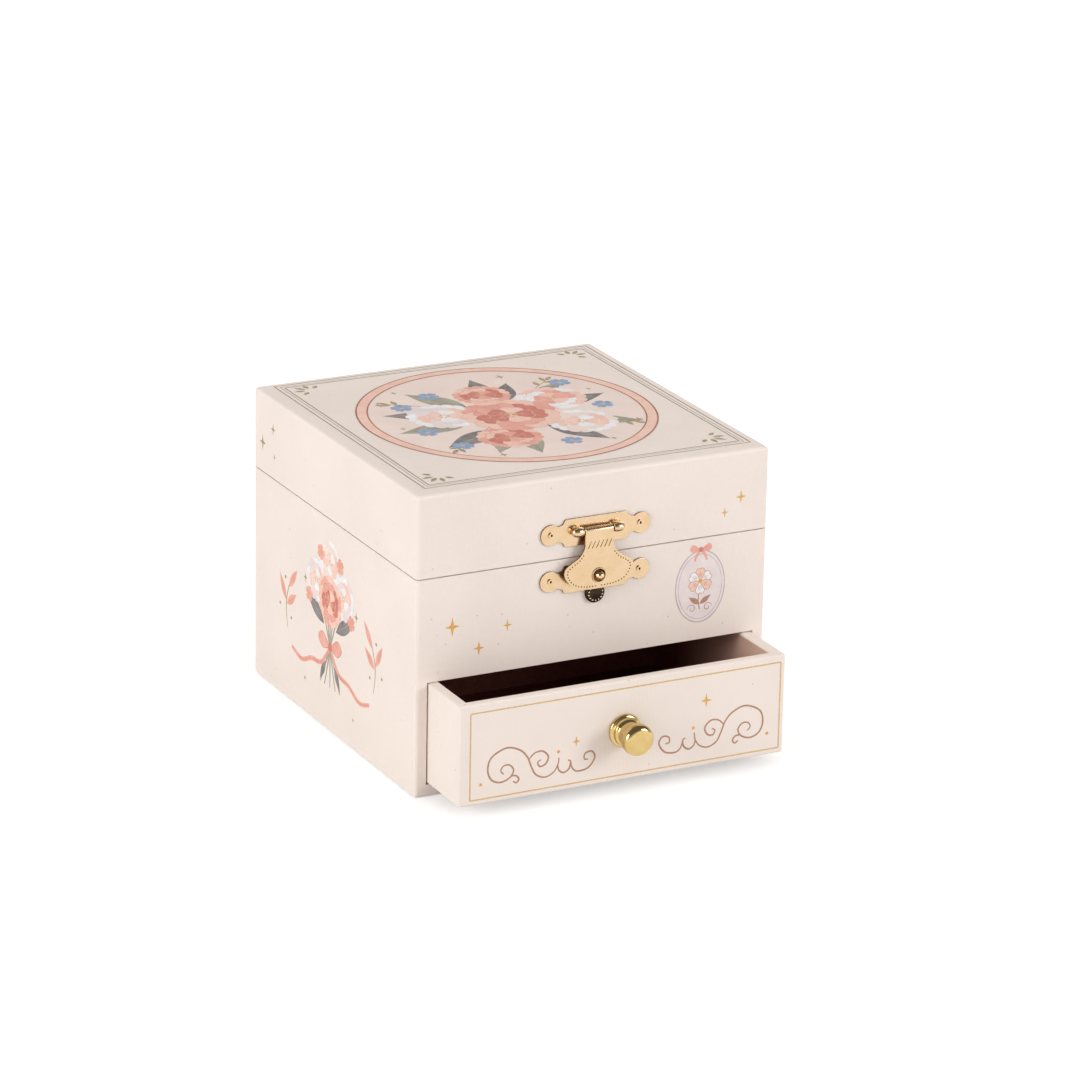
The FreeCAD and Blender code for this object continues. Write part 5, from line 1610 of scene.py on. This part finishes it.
    def nail_hole_shadows(self) -> None:
        """Put a small dark dome in the middle of each nail's head: painted shadow of the nail's hole."""
        for body in ("lid", "box"):
            low, high = (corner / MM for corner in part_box(f"hasp_nails_{body}"))
            level = (low.z + high.z) / 2 + 0.12
            places = [(way * self.nail_place - 0.1, low.y, level) for way in (-1, 1)]
            # Painted shadow: a flat dark dome on the nail head stands for the shadow of its hole.
            piece = beads(f"hasp_nail_pits_{body}", places, (0.34, 0.05, 0.42))
            dress(piece, Look.AGED_BRASS, body)

    def rosette(self) -> None:
        """Press the rosette tab: a dark disc and boss, both painted shade, with a ring of pale beads."""
        middle = (0, self.rosette_face, self.rosette_level)
        # Painted shade: the disc and the boss are near-black to stand in for the shade and dark reflection
        # under the flap.
        tab = lathe("rosette_disc", self.rosette_disc, middle, (0, -1, 0), 48)
        dress(tab, Look.AGED_BRASS, "box")
        turns = [360 * (step + 0.5) / self.rosette_beads for step in range(self.rosette_beads)]
        places = [polar(0, self.rosette_level, self.rosette_ring, turn) for turn in turns]
        ring = beads("rosette_beads", [(x, self.rosette_face, z) for x, z in places], (0.3, 0.22, 0.3))
        dress(ring, Look.STAMPED_BRASS, "box")
        boss = lathe("rosette_boss", self.rosette_boss, middle, (0, -1, 0), 24)
        dress(boss, Look.AGED_BRASS, "box")

    def build(self) -> None:
        """Dress the hardware."""
        refinish(Look.POLISHED_BRASS, *self.polished)
        refinish(Look.STAMPED_BRASS, "hasp_nails_lid", "hasp_nails_box")
        self.nail_hole_shadows()
        self.plates()
        self.flap()
        self.marks()
        self.rosette()


@dataclass
class Movement:
    """The musical movement behind the drawer, its screws and the worm's thread."""

    worm: Point = (-16.0, 18.0)
    worm_ends: Point = (27.0, 37.2)
    worm_radius: float = 0.98
    pitch: float = 1.257
    thread_radius: float = 0.19
    screw_face: float = 57.2
    screw_profile: Rows = (
        (0, -7.3), (1.2, -7.3), (1.2, -1.2), (2.4, -1.2), (2.4, -0.62), (2.28, -0.4), (1.95, -0.2),
        (1.2, -0.05), (0, 0),
    )
    slot_low: Point = (-3.0, -0.6, -0.3)
    slot_high: Point = (3.0, 0.3, 0.3)
    screws: Rows = ((-20.0, 9.0, 24.0), (20.0, 9.0, -38.0), (20.0, 28.5, 70.0))
    brass: tuple[str, ...] = (
        "mainspring_barrel", "cylinder", "cylinder_pinion", "cylinder_gear", "governor_wheel",
        "governor_bracket",
    )
    steel: tuple[str, ...] = (
        "comb", "comb_screws", "mainspring", "winding_arbor", "spindle", "governor_worm", "stop_wire",
    )

    def bed_screws(self) -> None:
        """Turn the screws that hold the bed, each with a domed head and a slot cut across it."""
        made = []
        for x, z, turn in self.screws:
            item = lathe("bed_screw", self.screw_profile, (x, self.screw_face, z), (0, 1, 0), 48)
            cutter = block("cutter", self.slot_low, self.slot_high)
            cutter.rotation_euler.y = math.radians(turn)
            cutter.location = metres((x, self.screw_face, z))
            settle(cutter)
            choose(item)
            item.modifiers.new("slot", "BOOLEAN").object = cutter
            bpy.ops.object.modifier_apply(modifier="slot")
            bpy.data.objects.remove(cutter)
            made.append(tidy(item, 35))
        piece = dress(join("slotted_bed_screws", made), Look.STEEL, "box")
        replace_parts(piece, "movement_screws")

    def thread(self) -> None:
        """Wind the worm's thread round its core."""
        x, z = self.worm
        low, high = self.worm_ends
        turns = (high - low) / self.pitch
        count = int(turns * 10)
        path = []
        for t in (step / count for step in range(count + 1)):
            across, up = polar(x, z, self.worm_radius, 360 * turns * t)
            path.append((across, low + (high - low) * t, up))
        item = limb("worm_thread", path, [self.thread_radius] * len(path), 6, 1)
        dress(item, Look.STEEL, "fan")

    def build(self) -> None:
        """Dress the movement."""
        refinish(Look.PLAIN_BRASS, *self.brass)
        refinish(Look.STEEL, *self.steel)
        refinish(Look.CAST_ALLOY, "movement_bed")
        refinish(Look.FAN_SHEET, "governor_fan")
        self.thread()
        self.bed_screws()


@dataclass
class Dancer:
    """The dancer on the turntable: a doll-like figure on one toe, in a net skirt."""

    centre: Point = (0.0, 31.0)
    foot: float = 40.5
    skirt_level: float = 58.9
    layers: Rows = ((12.8, 0.0, 22), (12.3, 0.6, 19), (11.85, 1.15, 17))
    waist: float = 2.3
    droop: float = 1.3
    ruffle: float = 0.75
    ruffle_curve: float = 1.6
    skirt_steps: int = 352
    slack: float = 1.06

    def at(self, x: float, y: float, z: float) -> Point:
        """A place on the figure, from its axis and its foot."""
        return (self.centre[0] + x, self.centre[1] + y, self.foot + z)

    def part(
        self, name: str, path: Sequence[Point], radii: Sequence[float], sides: int = 18, steps: int = 6,
    ) -> Item:
        """A limb of the figure."""
        return limb(name, [self.at(*point) for point in path], radii, sides, steps)

    def ball(self, name: str, place: Point, size: Point, rings: int = 16) -> Item:
        """A round of the figure."""
        return ball(name, self.at(*place), size, rings)

    def finish(self, name: str, items: Sequence[Item], look: Look) -> Item:
        """Join parts of the figure and dress them."""
        return dress(join(name, items), look, "cylinder")

    def skin(self) -> None:
        """Build the legs, the chest, the arms and the head."""
        leg = ((0, 0, 2.4), (0.1, 0.1, 5), (0.2, 0.3, 8.6), (0.1, 0, 11.4), (0.5, 0, 15), (0.8, 0, 18.4))
        chest = ((0, 0, 23.0), (0, 0, 24.4), (0, 0, 25.4), (0, 0, 26.3), (0, 0, 28.4))
        arm = (
            (2.1, 0, 24.6), (4.6, -0.5, 27.0), (6.9, -0.9, 31.0), (5.6, -1.0, 36.0), (3.4, -0.9, 39.4),
            (1.3, -0.7, 41.4),
        )
        parts = [
            self.part("leg", leg, (0.62, 0.8, 1.3, 1.05, 1.5, 1.8)),
            self.part("thigh", ((-0.9, 0, 18.2), (-3.2, -0.9, 15.4), (-5.4, -1.4, 12.9)), (1.8, 1.4, 1.0)),
            self.part("shin", ((-5.4, -1.4, 12.9), (-3.4, -0.9, 12.0), (-1.2, -0.5, 11.4)), (1.0, 1.1, 0.6)),
            self.part("chest", chest, (2.3, 2.35, 1.7, 0.95, 0.9)),
        ]
        for way in (-1, 1):
            path = [(way * x, y, z) for x, y, z in arm]
            parts.append(self.part("arm", path, (0.85, 0.78, 0.62, 0.56, 0.42, 0.3)))
        parts.append(self.ball("head", (0, 0, 30.6), (2.45, 2.6, 2.85)))
        parts.append(self.ball("nose", (0, -2.55, 30.3), (0.22, 0.26, 0.3), 8))
        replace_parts(self.finish("dancer_doll", parts, Look.SKIN), "dancer_figure")

    def clothes(self) -> None:
        """Build the bodice, the shoes and the bands in satin, and the pinned-up hair."""
        bodice = ((0, 0, 17.2), (0, 0, 18.4), (0, 0, 19.6), (0, 0, 21.6), (0, 0, 23.2), (0, 0, 24.0))
        shoe = ((0, 0, 0.02), (0, 0, 0.8), (0, 0.05, 2.0), (0, 0, 3.2))
        raised = ((-1.3, -0.5, 11.45), (-0.6, -0.4, 11.2), (0.2, -0.3, 10.8))
        satin = [
            self.part("bodice", bodice, (2.1, 2.45, 2.0, 2.5, 2.6, 2.3)),
            self.part("shoe", shoe, (0.5, 0.75, 0.85, 0.78)),
            self.part("raised_shoe", raised, (0.7, 0.75, 0.35)),
            self.ball("bun_band", (0, 0.9, 33.6), (1.2, 1.2, 0.4), 10),
        ]
        for level in (3.7, 4.3):
            band = ((0.05, 0.05, level), (0.05, 0.06, level + 0.35))
            satin.append(self.part("ankle_band", band, (0.86, 0.88)))
        self.finish("dancer_satin", satin, Look.SATIN)
        hair = [
            self.ball("hair", (0, 0.42, 31.0), (2.62, 2.55, 2.85)),
            self.ball("bun", (0, 1.0, 34.5), (1.35, 1.35, 1.2), 12),
        ]
        self.finish("dancer_hair", hair, Look.HAIR)

    def face(self) -> None:
        """Paint lowered lashes and a small mouth."""
        lash = ((0.55, -2.52, 30.95), (0.95, -2.42, 30.72), (1.4, -2.2, 30.95))
        lashes = []
        for way in (-1, 1):
            lashes.append(self.part("lash", [(way * x, y, z) for x, y, z in lash], (0.07, 0.1, 0.07), 8, 4))
        self.finish("dancer_lashes", lashes, Look.LASH)
        bow = ((-0.42, -2.28, 29.5), (0, -2.42, 29.38), (0.42, -2.28, 29.5))
        self.finish("dancer_mouth", [self.part("mouth", bow, (0.06, 0.15, 0.06), 8, 5)], Look.LIP)

    def skirt(self) -> None:
        """Gather the net skirt in ruffled layers."""
        for number, (hem, lift, waves) in enumerate(self.layers):
            span = hem - self.waist
            runs = [step / 16 for step in range(17)]
            profile = [(self.waist + span * t, lift - self.droop * t**2) for t in runs]
            middle = (*self.centre, self.skirt_level)
            item = lathe(f"net_skirt_{number + 1}", profile, middle, (0, 0, 1), self.skirt_steps)
            for vertex in item.data.vertices:
                x, y = vertex.co.x - self.centre[0] * MM, vertex.co.y - self.centre[1] * MM
                t = max(math.hypot(x, y) / MM - self.waist, 0) / span
                wave = math.sin(waves * math.atan2(y, x) + number * 1.7)
                vertex.co.z += self.ruffle * t**self.ruffle_curve * wave * MM
            bpy.ops.object.shade_smooth()
            dress(item, Look.TULLE, "cylinder")
            if number == 0:
                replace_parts(item, "dancer_tutu")

    def build(self) -> None:
        """Build and dress the dancer and the turntable."""
        refinish(Look.PEARL, "turntable")
        self.skin()
        self.clothes()
        self.face()
        self.skirt()


@dataclass
class Studio:
    """Floor, light and camera."""

    target: Point = (11.304, 0.0, 50.121)
    azimuth: float = -27.2489
    elevation: float = 19.1908
    roll: float = 1.084
    distance: float = 1465.99
    lens: float = 165.57
    room_light: float = 0.68
    room_tone: Colour = (1.0, 0.99, 0.975)
    ceiling: Point = (-0.02, 0.42, 0.85, 0.15)
    sensor: float = 36.0
    clip: Point = (0.05, 30.0)
    lamps: tuple[tuple[str, Point, Point, float, float], ...] = (
        ("key_lamp", (-2.0, -0.45, 0.7), (0, 0, 0.04), 1.0, 20),
        ("front_lamp", (1.3, -1.45, 0.7), (0, 0, 0.04), 0.8, 14.5),
        ("rear_lamp", (1.1, 1.9, 0.14), (0, 0, 0.05), 1.0, 8.5),
    )
    floor_size: float = 14.0
    floor_level: float = -0.0002
    floor_tone: Colour = (0.8, 0.8, 0.8)
    floor_glow: Point = (0.06, 0.6, 0.36, 0.62)

    def world(self) -> None:
        """Light a plain room: white to the camera, with a darker ceiling in metal and glass."""
        room = Nodes(bpy.data.worlds.new("white_room"))
        rays = room.node("LightPath").outputs
        height = room.node("SeparateXYZ", {0: room.node("TexCoord").outputs["Generated"]}).outputs["Z"]
        mirrored = room.sums(rays["Is Glossy Ray"], rays["Is Transmission Ray"], "MAXIMUM")
        seen = room.sums(rays["Is Camera Ray"], mirrored, "MAXIMUM")
        shown = room.sums(rays["Is Camera Ray"], room.span(height, *self.ceiling), "MAXIMUM")
        strength = room.span(seen, 0.0, 1.0, self.room_light, shown)
        room.show(room.node("Background", {"Color": self.room_tone, "Strength": strength}))
        bpy.context.scene.world = room.owner

    def floor(self) -> None:
        """Lay a wide floor that shows as white to the camera and keeps the object's shadow."""
        clear()
        bpy.ops.mesh.primitive_plane_add(size=self.floor_size, location=(0, 0, self.floor_level))
        item = bpy.context.active_object
        item.name = "studio_floor"
        plain = Nodes(bpy.data.materials.new("studio_floor"))
        rays = plain.node("LightPath").outputs
        place = plain.node("TexCoord").outputs["Object"]
        away = plain.node("VectorMath", {0: place}, operation="LENGTH").outputs["Value"]
        seen = plain.sums(rays["Is Camera Ray"], rays["Is Glossy Ray"], "MAXIMUM")
        glow = plain.sums(seen, plain.span(away, *self.floor_glow), "MULTIPLY")
        matte = plain.node("BsdfDiffuse", {"Color": self.floor_tone}).outputs[0]
        lit = plain.node("Emission", {"Strength": glow}).outputs[0]
        plain.show(plain.node("AddShader", {0: matte, 1: lit}))
        item.data.materials.append(plain.owner)

    def lamp(self, name: str, place: Point, aim: Point, size: float, power: float) -> None:
        """Hang one soft square lamp.

        Args:
            name: Its name.
            place: Where it hangs, in metres.
            aim: Where it points, in metres.
            size: Its side, in metres.
            power: Its power, in watts.
        """
        data = bpy.data.lights.new(name, "AREA")
        data.size, data.energy = size, power
        item = bpy.data.objects.new(name, data)
        item.location = place
        item.rotation_mode = "QUATERNION"
        item.rotation_quaternion = (Vector(aim) - Vector(place)).to_track_quat("-Z", "Y")
        bpy.context.scene.collection.objects.link(item)

    def camera(self) -> None:
        """Set the camera where the picture was taken from."""
        data = bpy.data.cameras.new("camera")
        data.lens, data.sensor_width = self.lens, self.sensor
        data.clip_start, data.clip_end = self.clip
        item = bpy.data.objects.new("camera", data)
        a, e = math.radians(self.azimuth), math.radians(self.elevation)
        back = Vector((math.sin(a) * math.cos(e), -math.cos(a) * math.cos(e), math.sin(e)))
        item.location = (Vector(self.target) + back * self.distance) * MM
        item.rotation_mode = "QUATERNION"
        tilt = Quaternion((0, 0, 1), math.radians(self.roll))
        item.rotation_quaternion = (-back).to_track_quat("-Z", "Y") @ tilt
        bpy.context.scene.collection.objects.link(item)
        bpy.context.scene.camera = item

    def build(self) -> None:
        """Set up the studio."""
        bpy.context.scene.view_settings.view_transform = "Standard"
        self.world()
        self.floor()
        for lamp in self.lamps:
            self.lamp(*lamp)
        self.camera()


def main() -> None:
    """Build every sub-assembly, then the studio."""
    logging.basicConfig(level=logging.INFO, format="%(message)s")
    for assembly in (Casework(), Drawer(), Linings(), Hardware(), Movement(), Dancer(), Studio()):
        assembly.build()
        LOG.info("%s done", type(assembly).__name__)


if __name__ == "__main__":
    main()
